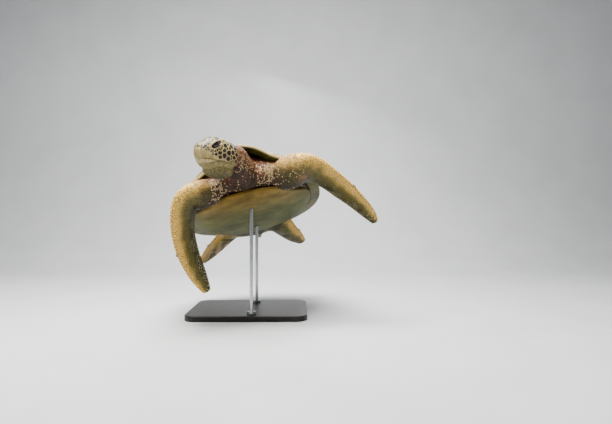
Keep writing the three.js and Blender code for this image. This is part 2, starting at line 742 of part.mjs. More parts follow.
function addNeck(rows) {
  const throat = looseSkin(THROAT).transform([...headMatrix.elements]);
  let neck = limbStretch(rows, NECK_BASE + gapShare(rows), 0.999, { rings: 8, around: 14 });
  neck = neck.subtract(headRoom()).add(throat);
  neck = neck.subtract(wholeHead(GAP).transform([...headMatrix.elements])).subtract(room);
  for (const limb of [FRONT_LEFT, FRONT_RIGHT]) {
    neck = neck.subtract(limbStretch(limb, FRONT_SHOULDER, FRONT_WRIST, { grow: GAP }));
  }
  keep("neck", neck);
}

// ---------------------------------------------------------------- stand

const bodyMatrix = new THREE.Matrix4().compose(
  new THREE.Vector3(0, 0, BODY_HEIGHT),
  new THREE.Quaternion().setFromEuler(
    new THREE.Euler(...[PITCH, BANK, 0].map(THREE.MathUtils.degToRad), "XYZ"),
  ),
  new THREE.Vector3(1, 1, 1),
);

function roundedBase() {
  const [w, d, r] = [BASE_WIDTH / 2, BASE_DEPTH / 2, BASE_CORNER];
  const shape = new THREE.Shape();
  shape.moveTo(w, -d + r);
  const corners = [[1, 1], [-1, 1], [-1, -1], [1, -1]];
  corners.forEach(([x, y], quarter) => {
    const start = (quarter * Math.PI) / 2;
    shape.absarc(x * (w - r), y * (d - r), r, start, start + Math.PI / 2, false);
  });
  const settings = { depth: BASE_THICKNESS, bevelEnabled: false, curveSegments: 4 };
  return solidOf(new THREE.ExtrudeGeometry(shape, settings));
}

/** An upright round bar from one height to another. */
function upright(x, y, radius, bottom, top) {
  const bar = new THREE.CylinderGeometry(radius, radius, top - bottom, 14);
  bar.rotateX(Math.PI / 2).translate(x, y, (bottom + top) / 2);
  return solidOf(bar);
}

function addStand() {
  keep("stand_base", roundedBase());
  const shell = shellOutside(GAP).transform([...bodyMatrix.elements]);
  for (const [name, y] of [["front", ROD_SPOTS[0]], ["rear", ROD_SPOTS[1]]]) {
    const spot = new THREE.Vector3(0, y, PLASTRON_LEVEL).applyMatrix4(bodyMatrix);
    const foot = BASE_THICKNESS + GAP;
    const rod = upright(spot.x, spot.y, ROD_RADIUS, foot, BODY_HEIGHT);
    const collar = upright(spot.x, spot.y, COLLAR_RADIUS, foot, foot + COLLAR_HEIGHT);
    const bore = upright(spot.x, spot.y, ROD_RADIUS + GAP, 0, BODY_HEIGHT);
    keep(`stand_collar_${name}`, collar.subtract(bore));
    pieces.set(`stand_rod_${name}`, lowest(rod.subtract(shell)));
  }
}

/** The lowest body of a solid that has been cut through. */
function lowest(solid) {
  return solid.decompose().sort((a, b) => a.boundingBox().min[2] - b.boundingBox().min[2])[0];
}

// ---------------------------------------------------------------- materials and the whole

const FINISHES = [
  [/^stand_base/, 0x26282b, 0.55, 0],
  [/^stand_/, 0xb9bcc0, 0.3, 1],
  [/^eye_/, 0x14110d, 0.08, 0],
  [/claw$/, 0x6d6450, 0.4, 0],
  [/^beak_/, 0xb9b88a, 0.4, 0],
  [/^(nuchal|vertebral|costal|marginals|supracaudal)/, 0x5f5233, 0.35, 0],
  [/^(gular|humeral|pectoral|abdominal|femoral|anal|bridge)_/, 0xb8a86a, 0.45, 0],
  [/^(head|lower_jaw)/, 0x7c7f5e, 0.5, 0],
  [/^(neck|trunk|tail)/, 0x6a5a44, 0.6, 0],
  [/^(front|rear)_/, 0x8c8c55, 0.5, 0],
];

function meshOf(name, solid) {
  const { vertProperties, triVerts } = solid.getMesh();
  const geometry = new THREE.BufferGeometry();
  geometry.setAttribute("position", new THREE.BufferAttribute(new Float32Array(vertProperties), 3));
  geometry.setIndex([...triVerts]);
  const [, color, roughness, metalness] = FINISHES.find(([pattern]) => pattern.test(name));
  const mesh = new THREE.Mesh(geometry, new THREE.MeshStandardMaterial({ color, roughness, metalness }));
  mesh.name = name;
  return mesh;
}

addCarapace();
addPlastron();
addLimbs();
addTrunk();
addHead();
addStand();

const turtle = new THREE.Group();
const body = new THREE.Group();
const headGroup = new THREE.Group();
body.applyMatrix4(bodyMatrix);
headGroup.applyMatrix4(headMatrix);
turtle.add(body);
body.add(headGroup);
for (const [name, solid] of pieces) {
  const inHead = /^(head|lower_jaw|beak|eye)/.test(name);
  const group = name.startsWith("stand_") ? turtle : inHead ? headGroup : body;
  group.add(meshOf(name, solid));
}

export default turtle;
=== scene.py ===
"""A green sea turtle on a plain display stand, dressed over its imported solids.

The body is shaped in millimetres in a frame of its own (+X to its left, -Y forward, +Z through
its back) and the head in another, with its origin between the eyes. Each mesh is turned into the
shared frame, in metres, when it is made.
"""

from __future__ import annotations

import logging
import math
from dataclasses import dataclass, field
from enum import Enum
from typing import Callable, Iterable, Sequence

import bpy
import numpy as np
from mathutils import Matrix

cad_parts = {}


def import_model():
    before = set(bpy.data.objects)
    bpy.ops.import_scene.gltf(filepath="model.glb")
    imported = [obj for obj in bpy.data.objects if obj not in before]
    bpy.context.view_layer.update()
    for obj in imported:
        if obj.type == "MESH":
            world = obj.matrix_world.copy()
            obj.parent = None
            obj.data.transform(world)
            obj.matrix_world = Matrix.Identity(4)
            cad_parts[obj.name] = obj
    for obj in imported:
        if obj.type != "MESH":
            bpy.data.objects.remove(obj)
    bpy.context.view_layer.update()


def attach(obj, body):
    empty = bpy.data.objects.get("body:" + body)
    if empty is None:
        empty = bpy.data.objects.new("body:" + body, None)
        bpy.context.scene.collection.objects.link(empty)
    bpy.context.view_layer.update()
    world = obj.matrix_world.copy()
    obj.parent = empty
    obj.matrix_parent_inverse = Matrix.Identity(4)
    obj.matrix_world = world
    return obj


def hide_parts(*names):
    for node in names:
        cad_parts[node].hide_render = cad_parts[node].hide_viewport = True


LOG = logging.getLogger("turtle")
Array = np.ndarray
Thing = bpy.types.Object
Socket = bpy.types.NodeSocket
FULL_TURN = 2.0 * math.pi
SEED = 11

# ------------------------------------------------------------------ sizes shared by the pieces

HALF_LENGTH = 400.0
HALF_WIDTH = 341.0
NUCHAL_RISE = 108.0
SIDE_DROP = -46.0
REAR_DROP = -49.0
DOME_TOP = 165.0
DOME_CENTRE = np.array([0.0, -60.0])
DOME_FULLNESS = 2.1
DOME_SHOULDER = 0.85
PLASTRON_LEVEL = -103.0
PLATE_THICKNESS = 11.0
RIM_THICKNESS = 13.0
RIM_SLOPE = 0.06
MARGINAL_WIDTH = 58.0
RIM_OVERHANG = 48.0
NECK_OVERHANG = 22.0
BODY_HEIGHT = 560.0
PITCH = -16.4
BANK = -14.0
HEAD_PLACE = (-98.0, -550.0, 50.0)
HEAD_NOD, HEAD_TILT, HEAD_TURN = 2.0, 23.0, -42.0
HEAD_BACK = 100.0
FAR = 900.0
SIDES = (("left", 1), ("right", -1))


def turned(axis: int, degrees: float) -> Array:
    """A 4 by 4 turn about axis 0, 1 or 2, for X, Y or Z, by the right-hand rule."""
    c, s = math.cos(math.radians(degrees)), math.sin(math.radians(degrees))
    out = np.eye(4)
    i, j = (axis + 1) % 3, (axis + 2) % 3
    out[i, i], out[i, j], out[j, i], out[j, j] = c, -s, s, c
    return out


def moved(x: float, y: float, z: float) -> Array:
    """A 4 by 4 shift."""
    out = np.eye(4)
    out[:3, 3] = (x, y, z)
    return out


FLOOR = np.eye(4)
BODY = moved(0, 0, BODY_HEIGHT) @ turned(0, PITCH) @ turned(1, BANK)
HEAD_IN_BODY = moved(*HEAD_PLACE) @ turned(2, HEAD_TURN) @ turned(0, HEAD_NOD) @ turned(1, HEAD_TILT)
HEAD_FRAME = BODY @ HEAD_IN_BODY
TO_BODY = np.linalg.inv(BODY)
BODY_TO_HEAD = np.linalg.inv(HEAD_IN_BODY)

# ------------------------------------------------------------------ sums on whole arrays


def carried(points: Array, matrix: Array) -> Array:
    """Points moved by a 4 by 4 matrix."""
    return points @ matrix[:3, :3].T + matrix[:3, 3]


def smooth_step(value: Array, low: float, high: float) -> Array:
    """0 below low, 1 above high, and 3t^2 - 2t^3 between them."""
    t = np.clip((value - low) / (high - low), 0.0, 1.0)
    return t * t * (3.0 - 2.0 * t)


def bump(value: Array, centre: float, width: float) -> Array:
    """exp(-(distance / width)^2), a smooth hill of height 1."""
    return np.exp(-(((value - centre) / width) ** 2))


def creases(value: Array) -> Array:
    """Narrow valleys one apart: (1 - |sin(pi v)|)^2.5."""
    return (1.0 - np.abs(np.sin(math.pi * value))) ** 2.5


def rounded(depth: Array, radius: float) -> Array:
    """How far a rounded edge has fallen, as a share: 1 - sqrt(1 - (1 - depth / radius)^2)."""
    near = np.clip((radius - depth) / radius, 0, 1)
    return 1 - np.sqrt(np.maximum(1 - near**2, 0))


def ripple(points: Array, scale: float, phase: float = 0.0) -> Array:
    """A smooth wandering field between about -1 and 1: a mean of sines in slanting directions.

    Args:
        points: Rows of x, y, z in millimetres.
        scale: The wavelength, in millimetres.
        phase: Shifts the pattern.
    """
    ways = np.array([[1, 0.3, -0.5], [-0.4, 1, 0.6], [0.5, -0.7, 1], [0.9, 0.8, 0.2], [-0.8, 0.2, 0.9]])
    turns = points @ ways.T * (FULL_TURN / scale) + phase + np.arange(5) * 1.7
    return np.sin(turns + 1.3 * np.sin(turns[..., ::-1] * 0.6)).mean(axis=-1) * 1.6


def unit(vectors: Array) -> Array:
    """Vectors made one long."""
    return vectors / np.maximum(np.linalg.norm(vectors, axis=-1, keepdims=True), 1e-12)


def dot(a: Array, b: Array) -> Array:
    """Row by row products."""
    return np.einsum("...i,...i->...", a, b)


def turns_of(count: int) -> Array:
    """A number of angles spread evenly round a turn."""
    return np.arange(count) * FULL_TURN / count


def ways_of(angles: Array) -> Array:
    """The cosine and sine of angles, as rows."""
    return np.stack([np.cos(angles), np.sin(angles)], axis=-1)


def lengths_between(points: Array, others: Array) -> Array:
    """The squared distances between every point and every other: a^2 + b^2 - 2ab."""
    return (points**2).sum(1)[:, None] + (others**2).sum(1) - 2 * points @ others.T


def spaced(low: float, high: float, fine: Sequence[tuple], coarse_step: float) -> Array:
    """Places from low to high, closer together inside some spans.

    Args:
        low: The first place.
        high: The last place.
        fine: Spans as (start, end, step).
        coarse_step: The step outside them.
    """
    x = np.linspace(low, high, 4000)
    density = np.full(x.shape, 1.0 / coarse_step)
    for start, end, step in fine:
        edge = 0.12 * (end - start)
        window = smooth_step(x, start - edge, start) * (1 - smooth_step(x, end, end + edge))
        density = np.maximum(density, window / step)
    total = np.concatenate([[0.0], np.cumsum((density[1:] + density[:-1]) / 2 * np.diff(x))])
    return np.interp(np.linspace(0, total[-1], int(total[-1]) + 2), total, x)


def reach_of(centre: Array, angles: Array, loop: Array) -> Array:
    """How far rays from a centre go before they meet a closed outline of x and y.

    Each ray c + t d meets the side a + s e where t = (a - c) x e / (d x e), with s from 0 to 1.
    """
    side = np.roll(loop, -1, axis=0) - loop
    away = loop - centre
    way = ways_of(angles)
    cross = way[:, :1] * side[:, 1] - way[:, 1:] * side[:, 0]
    cross = np.where(np.abs(cross) < 1e-9, 1e-9, cross)
    t = (away[:, 0] * side[:, 1] - away[:, 1] * side[:, 0]) / cross
    s = (away[:, 0] * way[:, 1:] - away[:, 1] * way[:, :1]) / cross
    hit = (t > 0) & (s >= -1e-6) & (s <= 1 + 1e-6)
    return np.where(hit, t, np.inf).min(axis=1)


@dataclass(frozen=True)
class Curve:
    """A smooth line through rows of numbers, spaced by their first three.

    Between two rows it is the cubic with the rows' own values and central-difference slopes.
    """

    rows: tuple
    closed: bool = False

    def at(self, shares: Array) -> Array:
        """The rows at shares of the way along, from 0 to 1."""
        rows = np.asarray(self.rows, float)
        ends = (rows[-1:], rows, rows[:2]) if self.closed else (rows[:1], rows, rows[-1:])
        knots = np.vstack(ends)
        steps = np.linalg.norm(np.diff(knots[:, :3], axis=0), axis=1)
        slopes = (knots[2:] - knots[:-2]) / (steps[1:] + steps[:-1])[:, None]
        spans = steps[1:-1]
        places = np.concatenate([[0.0], np.cumsum(spans)])
        place = np.asarray(shares, float) * places[-1]
        i = np.clip(np.searchsorted(places, place) - 1, 0, len(spans) - 1)
        span = spans[i]
        t = (place - places[i]) / span
        blend = (t * t * (3 - 2 * t))[:, None]
        leave = (t * (1 - t) ** 2 * span)[:, None]
        arrive = (t * t * (t - 1) * span)[:, None]
        low, high = knots[1:-1][i], knots[1:-1][i + 1]
        return low + (high - low) * blend + slopes[i] * leave + slopes[i + 1] * arrive


# ------------------------------------------------------------------ shapes and meshes


@dataclass
class Shape:
    """Points with quads, triangles and named values, ready to become a mesh."""

    points: Array
    quads: Array
    triangles: Array
    marks: dict[str, Array] = field(default_factory=dict)

    def facing_out(self) -> "Shape":
        """The same closed shape with a positive volume."""
        fan = np.vstack([self.triangles, self.quads[:, [0, 1, 2]], self.quads[:, [0, 2, 3]]])
        a, b, c = (self.points[fan[:, k]] for k in range(3))
        if np.einsum("ij,ij->i", a, np.cross(b, c)).sum() < 0:
            self.quads = self.quads[:, ::-1]
            self.triangles = self.triangles[:, ::-1]
        return self


def joined(shapes: Iterable[Shape]) -> Shape:
    """Several shapes as one, their bodies still apart."""
    parts = list(shapes)
    starts = np.cumsum([0] + [len(s.points) for s in parts])
    return Shape(
        np.vstack([s.points for s in parts]),
        np.vstack([s.quads + n for s, n in zip(parts, starts)]),
        np.vstack([s.triangles + n for s, n in zip(parts, starts)]),
        {k: np.concatenate([s.marks[k] for s in parts]) for k in parts[0].marks},
    )


def ring_faces(count: int, around: int) -> tuple[Array, Array]:
    """The quads between rings of points, and the fans to one point before and one after them."""
    j = np.arange(around)
    n = (j + 1) % around
    i = (np.arange(count - 1) * around)[:, None]
    quads = np.stack([i + j, i + n, i + around + n, i + around + j], axis=-1).reshape(-1, 4)
    close, total = (count - 1) * around, count * around
    first = np.stack([np.full(around, total), n, j], axis=1)
    last = np.stack([np.full(around, total + 1), close + j, close + n], axis=1)
    return quads, np.vstack([first, last])


def skinned(rings: Array, start: Array | None = None, end: Array | None = None) -> Shape:
    """A closed shape over rings of points, each end drawn to a point or to its middle.

    Args:
        rings: An array of rings by places round by x, y, z.
        start: The point that closes the first ring.
        end: The point that closes the last ring.
    """
    first = rings[0].mean(axis=0) if start is None else start
    last = rings[-1].mean(axis=0) if end is None else end
    points = np.vstack([rings.reshape(-1, 3), first, last])
    return Shape(points, *ring_faces(*rings.shape[:2])).facing_out()


def wrapped(loops: Array) -> Shape:
    """A closed ring-shaped body from loops of points, the last joined to the first."""
    count, around = loops.shape[:2]
    i = np.arange(count)[:, None]
    j = np.arange(around)[None, :]
    n, k = (i + 1) % count, (j + 1) % around
    quads = np.stack([i * around + j, i * around + k, n * around + k, n * around + j], axis=-1)
    return Shape(loops.reshape(-1, 3), quads.reshape(-1, 4), np.zeros((0, 3), int)).facing_out()


def ellipsoid(size: Sequence[float], place: Sequence[float], around: int = 72) -> Shape:
    """A closed ellipsoid, its poles above and below."""
    polar = np.linspace(0.04, math.pi - 0.04, around // 2)[:, None]
    turn = turns_of(around)[None, :]
    across = (np.sin(polar) * np.cos(turn), np.sin(polar) * np.sin(turn))
    ball = np.stack(np.broadcast_arrays(*across, np.cos(polar)), axis=-1)
    size, place = np.array(size, float), np.array(place, float)
    pole = np.array([0, 0, size[2]])
    return skinned(ball * size + place, place + pole, place - pole)


def lathed(spot: Sequence[float], profile: Sequence[tuple]) -> Array:
    """Level rings of 48 points round a spot, from radii and heights."""
    turn = turns_of(48)
    rings = [(spot[0] + r * np.cos(turn), spot[1] + r * np.sin(turn), np.full(48, h)) for r, h in profile]
    return np.array(rings).transpose(0, 2, 1)


def mesh_object(name: str, shape: Shape, matrix: Array, crease: float = 40.0) -> Thing:
    """A smooth-shaded object at the origin, its place in its mesh.

    Args:
        name: The object's name.
        shape: Its points and faces, in millimetres.
        matrix: From the shape's frame to the shared one.
        crease: The angle, in degrees, past which an edge stays sharp.
    """
    mesh = bpy.data.meshes.new(name)
    points = carried(shape.points, matrix) * 0.001
    loops = np.concatenate([shape.quads.ravel(), shape.triangles.ravel()]).astype(np.int32)
    sizes = np.concatenate([np.full(len(shape.quads), 4), np.full(len(shape.triangles), 3)])
    starts = np.concatenate([[0], np.cumsum(sizes)[:-1]]).astype(np.int32)
    mesh.vertices.add(len(points))
    mesh.vertices.foreach_set("co", points.astype(np.float32).ravel())
    mesh.loops.add(len(loops))
    mesh.loops.foreach_set("vertex_index", loops)
    mesh.polygons.add(len(sizes))
    mesh.polygons.foreach_set("loop_start", starts)
    mesh.update(calc_edges=True)
    mesh.validate()
    for key, values in shape.marks.items():
        store_mark(mesh, key, values)
    return linked(name, mesh, crease)


def linked(name: str, mesh: bpy.types.Mesh, crease: float) -> Thing:
    """The mesh shaded smooth up to a crease angle, in an object of the scene."""
    mesh.shade_smooth()
    mesh.set_sharp_from_angle(angle=math.radians(crease))
    obj = bpy.data.objects.new(name, mesh)
    bpy.context.scene.collection.objects.link(obj)
    return obj


def store_mark(mesh: bpy.types.Mesh, key: str, values: Array) -> None:
    """Stores a value, a colour or a flat place for each point: one, three or two numbers.

    Args:
        mesh: The mesh that carries it.
        key: Its name. Two numbers become the UV map of that name.
        values: One row for each point.
    """
    if values.ndim == 1:
        mark = mesh.attributes.new(key, "FLOAT", "POINT")
        mark.data.foreach_set("value", values.astype(np.float32))
    elif values.shape[1] == 3:
        colour = np.column_stack([values, np.ones(len(values))]).astype(np.float32)
        mark = mesh.attributes.new(key, "FLOAT_COLOR", "POINT")
        mark.data.foreach_set("color", colour.ravel())
    else:
        corners = np.empty(len(mesh.loops), np.int32)
        mesh.loops.foreach_get("vertex_index", corners)
        layer = mesh.uv_layers.new(name=key)
        layer.data.foreach_set("uv", values[corners].astype(np.float32).ravel())


def point_rows(mesh: bpy.types.Mesh, key: str = "co", scale: float = 1000.0) -> Array:
    """A mesh's points in millimetres, or another of their values with its scale."""
    out = np.empty(len(mesh.vertices) * 3, np.float32)
    mesh.vertices.foreach_get(key, out)
    return out.reshape(-1, 3).astype(float) * scale


# ------------------------------------------------------------------ the shell's surfaces


def both_sides(half: tuple) -> tuple:
    """Rows from the front to the rear on the left, then back to the front on the right."""
    return half + tuple((-x, y, z) for x, y, z in half[-2:0:-1])


RIM_ROWS = (
    *((0, -HALF_LENGTH, NUCHAL_RISE), (70, -394, 90), (140, -370, 44), (225, -318, 12), (290, -232, -18)),
    *((329, -120, -38), (HALF_WIDTH, 0, SIDE_DROP), (329, 115, SIDE_DROP - 3), (288, 225, REAR_DROP)),
    *((211.5, 318, REAR_DROP), (112.5, 378, REAR_DROP), (35, 402, REAR_DROP), (0, HALF_LENGTH, REAR_DROP)),
)
PLASTRON_ROWS = (
    *((0, -338, -89), (75, -335, -91), (135, -312, -94), (180, -262, -96), (218, -215, -87)),
    *((275, -130, -70), (293, 0, -64), (277, 110, -70), (215, 195, -85), (150, 250, -91)),
    *((88, 298, -93), (0, 322, -91)),
)


@dataclass(frozen=True)
class ShellForm:
    """The surfaces that the shell's plates and the flesh inside it share."""

    rim: Curve = Curve(both_sides(RIM_ROWS), closed=True)
    plastron: Curve = Curve(both_sides(PLASTRON_ROWS), closed=True)

    @staticmethod
    def around_at(loop: Curve, bearing: Array) -> tuple[Array, Array]:
        """A loop's distance and height at bearings, 0 in front and positive to the left."""
        places = loop.at(np.arange(1440) / 1440)
        dx, dy = places[:, 0] - DOME_CENTRE[0], places[:, 1] - DOME_CENTRE[1]
        rows = np.column_stack([np.arctan2(dx, -dy) % FULL_TURN, np.hypot(dx, dy), places[:, 2]])
        rows = rows[np.argsort(rows[:, 0])]
        return tuple(np.interp(bearing, rows[:, 0], rows[:, k], period=FULL_TURN) for k in (1, 2))

    def rim_at(self, bearing: Array) -> tuple[Array, Array]:
        """The rim's distance and height at bearings."""
        return self.around_at(self.rim, bearing)

    def edge_at(self, bearing: Array) -> tuple[Array, Array]:
        """The plastron's edge as a distance, kept inside the marginals, and a height."""
        distance, height = self.around_at(self.plastron, bearing)
        return np.minimum(distance, self.rim_at(bearing)[0] - RIM_OVERHANG - 0.3), height

    @staticmethod
    def overhang(bearing: Array) -> Array:
        """How far the rim stands out past the flesh: least in front, by max(cos, 0)^1.5."""
        ahead = np.maximum(np.cos(bearing), 0.0) ** 1.5
        return RIM_OVERHANG + (NECK_OVERHANG - RIM_OVERHANG) * ahead

    @staticmethod
    def bearing_of(x: Array, y: Array) -> tuple[Array, Array]:
        """The bearing and distance of places from the dome's centre."""
        dx, dy = x - DOME_CENTRE[0], y - DOME_CENTRE[1]
        return np.arctan2(dx, -dy), np.hypot(dx, dy)

    @staticmethod
    def place_of(bearing: Array, distance: Array, height: Array) -> Array:
        """The point at a bearing, a distance from the dome's centre, and a height."""
        x = DOME_CENTRE[0] + np.sin(bearing) * distance
        y = DOME_CENTRE[1] - np.cos(bearing) * distance
        return np.stack(np.broadcast_arrays(x, y, height), axis=-1)

    def dome(self, x: Array, y: Array) -> Array:
        """The dome's height: rim + (top - rim)(1 - q^2.1)^0.85, q the share of the way out."""
        bearing, distance = self.bearing_of(x, y)
        reach, low = self.rim_at(bearing)
        share = np.minimum(distance / reach, 1.0)
        return low + (DOME_TOP - low) * (1.0 - share**DOME_FULLNESS) ** DOME_SHOULDER

    def belly(self, x: Array, y: Array) -> Array:
        """The plastron's height: level + (edge - level) s^5, s the share of the way out."""
        bearing, distance = self.bearing_of(x, y)
        reach, high = self.edge_at(bearing)
        share = np.minimum(distance / reach, 1.0)
        return PLASTRON_LEVEL + (high - PLASTRON_LEVEL) * share**5

    def ring(
        self, surface: Callable, bearing: Array, distance: Array, rise: float, out: float = 0.0
    ) -> Array:
        """A ring that stands a rise over a surface, moved out by a little."""
        flat = self.place_of(bearing, distance, 0.0)
        return self.place_of(bearing, distance + out, surface(flat[:, 0], flat[:, 1]) + rise)

    def loop(self, reach_at: Callable, inward: float) -> Array:
        """The outline of the rim or the plastron, moved in, as x and y."""
        bearing = turns_of(240)
        return self.place_of(bearing, reach_at(bearing)[0] - inward, 0.0)[:, :2]


SHELL = ShellForm()


# ------------------------------------------------------------------ limbs, neck, tail and head


class Loft:
    """A surface round a smooth middle line: a place for each share along and angle round."""

    def place(self, shares: Array, angles: Array, inset: float = 0.0) -> Array:
        """Points of the surface.

        Args:
            shares: How far along, from 0 to 1, and a little beyond where an end is rounded.
            angles: How far round.
            inset: How far inside the surface, in millimetres.
        """
        raise NotImplementedError


@dataclass(frozen=True)
class Limb(Loft):
    """Ovals along a line, each drawn out thin toward its trailing edge, with a rounded tip.

    A point is centre + lead (b/2) cos a + up (t/2)(1 + thinning (cos a - 0.35)) sin a, where b
    and t are the breadth and thickness and up = tangent x lead. A row holds the centre, the lead
    direction, the breadth, the thickness and the thinning.
    """

    rows: tuple
    dorsal: int = 1  # +1 where up faces the animal's back
    rings: int = 96
    root: float = 0.0  # the share where the neck's colours end
    tan: float = 0.0  # how much of it is blotched with tan
    firm: float = 0.42  # past this share nothing is softened

    @property
    def length(self) -> float:
        """The length of the middle line."""
        return float(np.linalg.norm(np.diff(np.array(self.rows)[:, :3], axis=0), axis=1).sum())

    @property
    def cap(self) -> float:
        """How far past share 1 the rounded tip runs."""
        return 0.28 * self.rows[-1][6] / self.length

    def shares(self, rings: int) -> Array:
        """Shares from the root to the end and round the tip, as a column."""
        tip = 1.0 + self.cap * np.sin(np.linspace(0.1, 0.995, 9) * math.pi / 2)
        return np.concatenate([np.linspace(0.0, 1.0, rings), tip])[:, None]

    def frame(self, shares: Array) -> tuple[Array, Array, Array, Array, Array]:
        """The centre, tangent, lead and up directions and sizes at shares along."""
        curve = Curve(self.rows)
        row = curve.at(shares)
        ahead = curve.at(np.minimum(shares + 0.01, 1.0))[:, :3]
        tangent = unit(ahead - curve.at(np.maximum(shares - 0.01, 0.0))[:, :3])
        lead = row[:, 3:6]
        lead = unit(lead - tangent * dot(lead, tangent)[:, None])
        return row[:, :3], tangent, lead, np.cross(tangent, lead), row[:, 6:9]

    def place(self, shares: Array, angles: Array, inset: float = 0.0) -> Array:
        """Points of the limb; see Loft.place."""
        shares, angles = np.broadcast_arrays(shares, angles)
        flat, angle = shares.ravel(), angles.ravel()
        inset = np.broadcast_to(inset, shares.shape).ravel()
        centre, tangent, lead, up, sizes = self.frame(np.clip(flat, 0.0, 1.0))
        beyond = np.clip((flat - 1.0) / self.cap, 0.0, 1.0)
        shrink = (1.0 - beyond**2) ** 0.6
        along = (sizes[:, 0] / 2 - inset) * np.cos(angle) * shrink
        fullness = 1.0 + sizes[:, 2] * (np.cos(angle) - 0.35)
        across = (sizes[:, 1] / 2 * fullness - inset) * np.sin(angle) * shrink
        out = beyond * (self.cap * self.length - inset)
        points = centre + lead * along[:, None] + up * across[:, None] + tangent * out[:, None]
        return points.reshape(shares.shape + (3,))

    def locate(self, points: Array) -> tuple[Array, Array, Array]:
        """Where points lie: the share along, and how far toward lead and up, 1 at the surface."""
        shares = np.linspace(0.0, 1.0, 120)
        centre, _, lead, up, sizes = self.frame(shares)
        i = lengths_between(points, centre).argmin(axis=1)
        offset = points - centre[i]
        return shares[i], dot(offset, lead[i]) / (sizes[i, 0] / 2), dot(offset, up[i]) / (sizes[i, 1] / 2)


LIMBS = {
    "front_left": Limb(
        (
            (120, -262, -30, 0, -0.35, 0.94, 140, 120, 0),
            (190, -318, -36, 0, -0.52, 0.85, 148, 112, 0),
            (250, -330, -36, 0, -0.72, 0.69, 148, 82, 0.1),
            (306, -312, -50, 0.18, -0.83, 0.53, 136, 58, 0.25),
            (358, -281, -89, 0.42, -0.86, 0.29, 129, 44, 0.35),
            (416, -248, -149, 0.48, -0.85, 0.23, 121, 34, 0.4),
            (468, -221, -213, 0.56, -0.82, 0.1, 101, 25, 0.4),
            (508, -200, -273, 0.64, -0.76, 0.08, 70, 17, 0.3),
            (522, -191, -303, 0.7, -0.7, 0.08, 42, 11, 0.2),
        ),
        dorsal=-1,
        root=0.06,
    ),
    "front_right": Limb(
        (
            (-105, -268, -34, 0, -0.4, 0.92, 122, 110, 0),
            (-160, -334, -48, 0, -0.6, 0.8, 120, 96, 0),
            (-202, -368, -62, -0.17, -0.74, 0.65, 130, 78, 0.1),
            (-244, -374, -78, -0.32, -0.83, 0.46, 134, 58, 0.25),
            (-273, -357, -118, -0.46, -0.83, 0.32, 128, 46, 0.35),
            (-294, -322, -195, -0.58, -0.78, 0.22, 120, 36, 0.4),
            (-295, -282, -280, -0.72, -0.69, 0.06, 107, 28, 0.4),
            (-280, -246, -364, -0.84, -0.53, -0.08, 82, 19, 0.4),
            (-262, -224, -430, -0.95, -0.25, -0.16, 42, 11, 0.2),
        ),
        root=0.12,
    ),
    "rear_left": Limb(
        (
            (85, 205, -56, 0.8, -0.45, 0.35, 116, 84, 0),
            (125, 292, -84, 0.86, -0.38, 0.3, 124, 60, 0.1),
            (158, 352, -118, 0.86, -0.46, 0.12, 114, 36, 0.2),
            (194, 408, -148, 0.84, -0.5, 0.16, 92, 22, 0.2),
            (224, 450, -170, 0.8, -0.52, 0.25, 50, 12, 0.1),
        ),
        dorsal=-1,
        rings=56,
        root=0.2,
        firm=0.5,
    ),
    "rear_right": Limb(
        (
            (-85, 205, -52, -0.75, -0.5, 0.4, 116, 84, 0),
            (-140, 272, -68, -0.72, -0.6, 0.3, 108, 46, 0.1),
            (-205, 312, -98, -0.55, -0.78, 0.28, 106, 36, 0.2),
            (-272, 352, -130, -0.42, -0.85, 0.33, 94, 22, 0.2),
            (-332, 380, -162, -0.3, -0.8, 0.5, 50, 12, 0.1),
        ),
        rings=56,
        root=0.2,
        tan=0.7,
        firm=0.5,
    ),
}
TAIL = Limb(
    (
        (0, 265, -70, 0, 0, 1, 70, 100, 0),
        (0, 320, -84, 0, 0, 1, 50, 60, 0),
        (0, 368, -93, 0, 0, 1, 30, 34, 0),
        (0, 402, -98, 0, 0, 1, 14, 16, 0),
    )
)


def neck_limb() -> Limb:
    """The neck: forward between the shoulders, then round to the back of the head."""
    behind = [carried(np.array([0.0, HEAD_BACK + d, -20.0]), HEAD_IN_BODY) for d in (30, -10)]
    up = HEAD_IN_BODY[:3, 2]
    return Limb(
        (
            (0, -255, -14, 0, 0, 1, 160, 172, 0),
            (-6, -330, -4, 0.05, -0.1, 1, 152, 158, 0),
            (-12, -392, 12, 0.15, -0.15, 1, 138, 136, 0),
            (*behind[0], *up, 103.7, 116.4, 0),
            (*behind[1], *up, 107, 119, 0),
        )
    )


NECK = neck_limb()


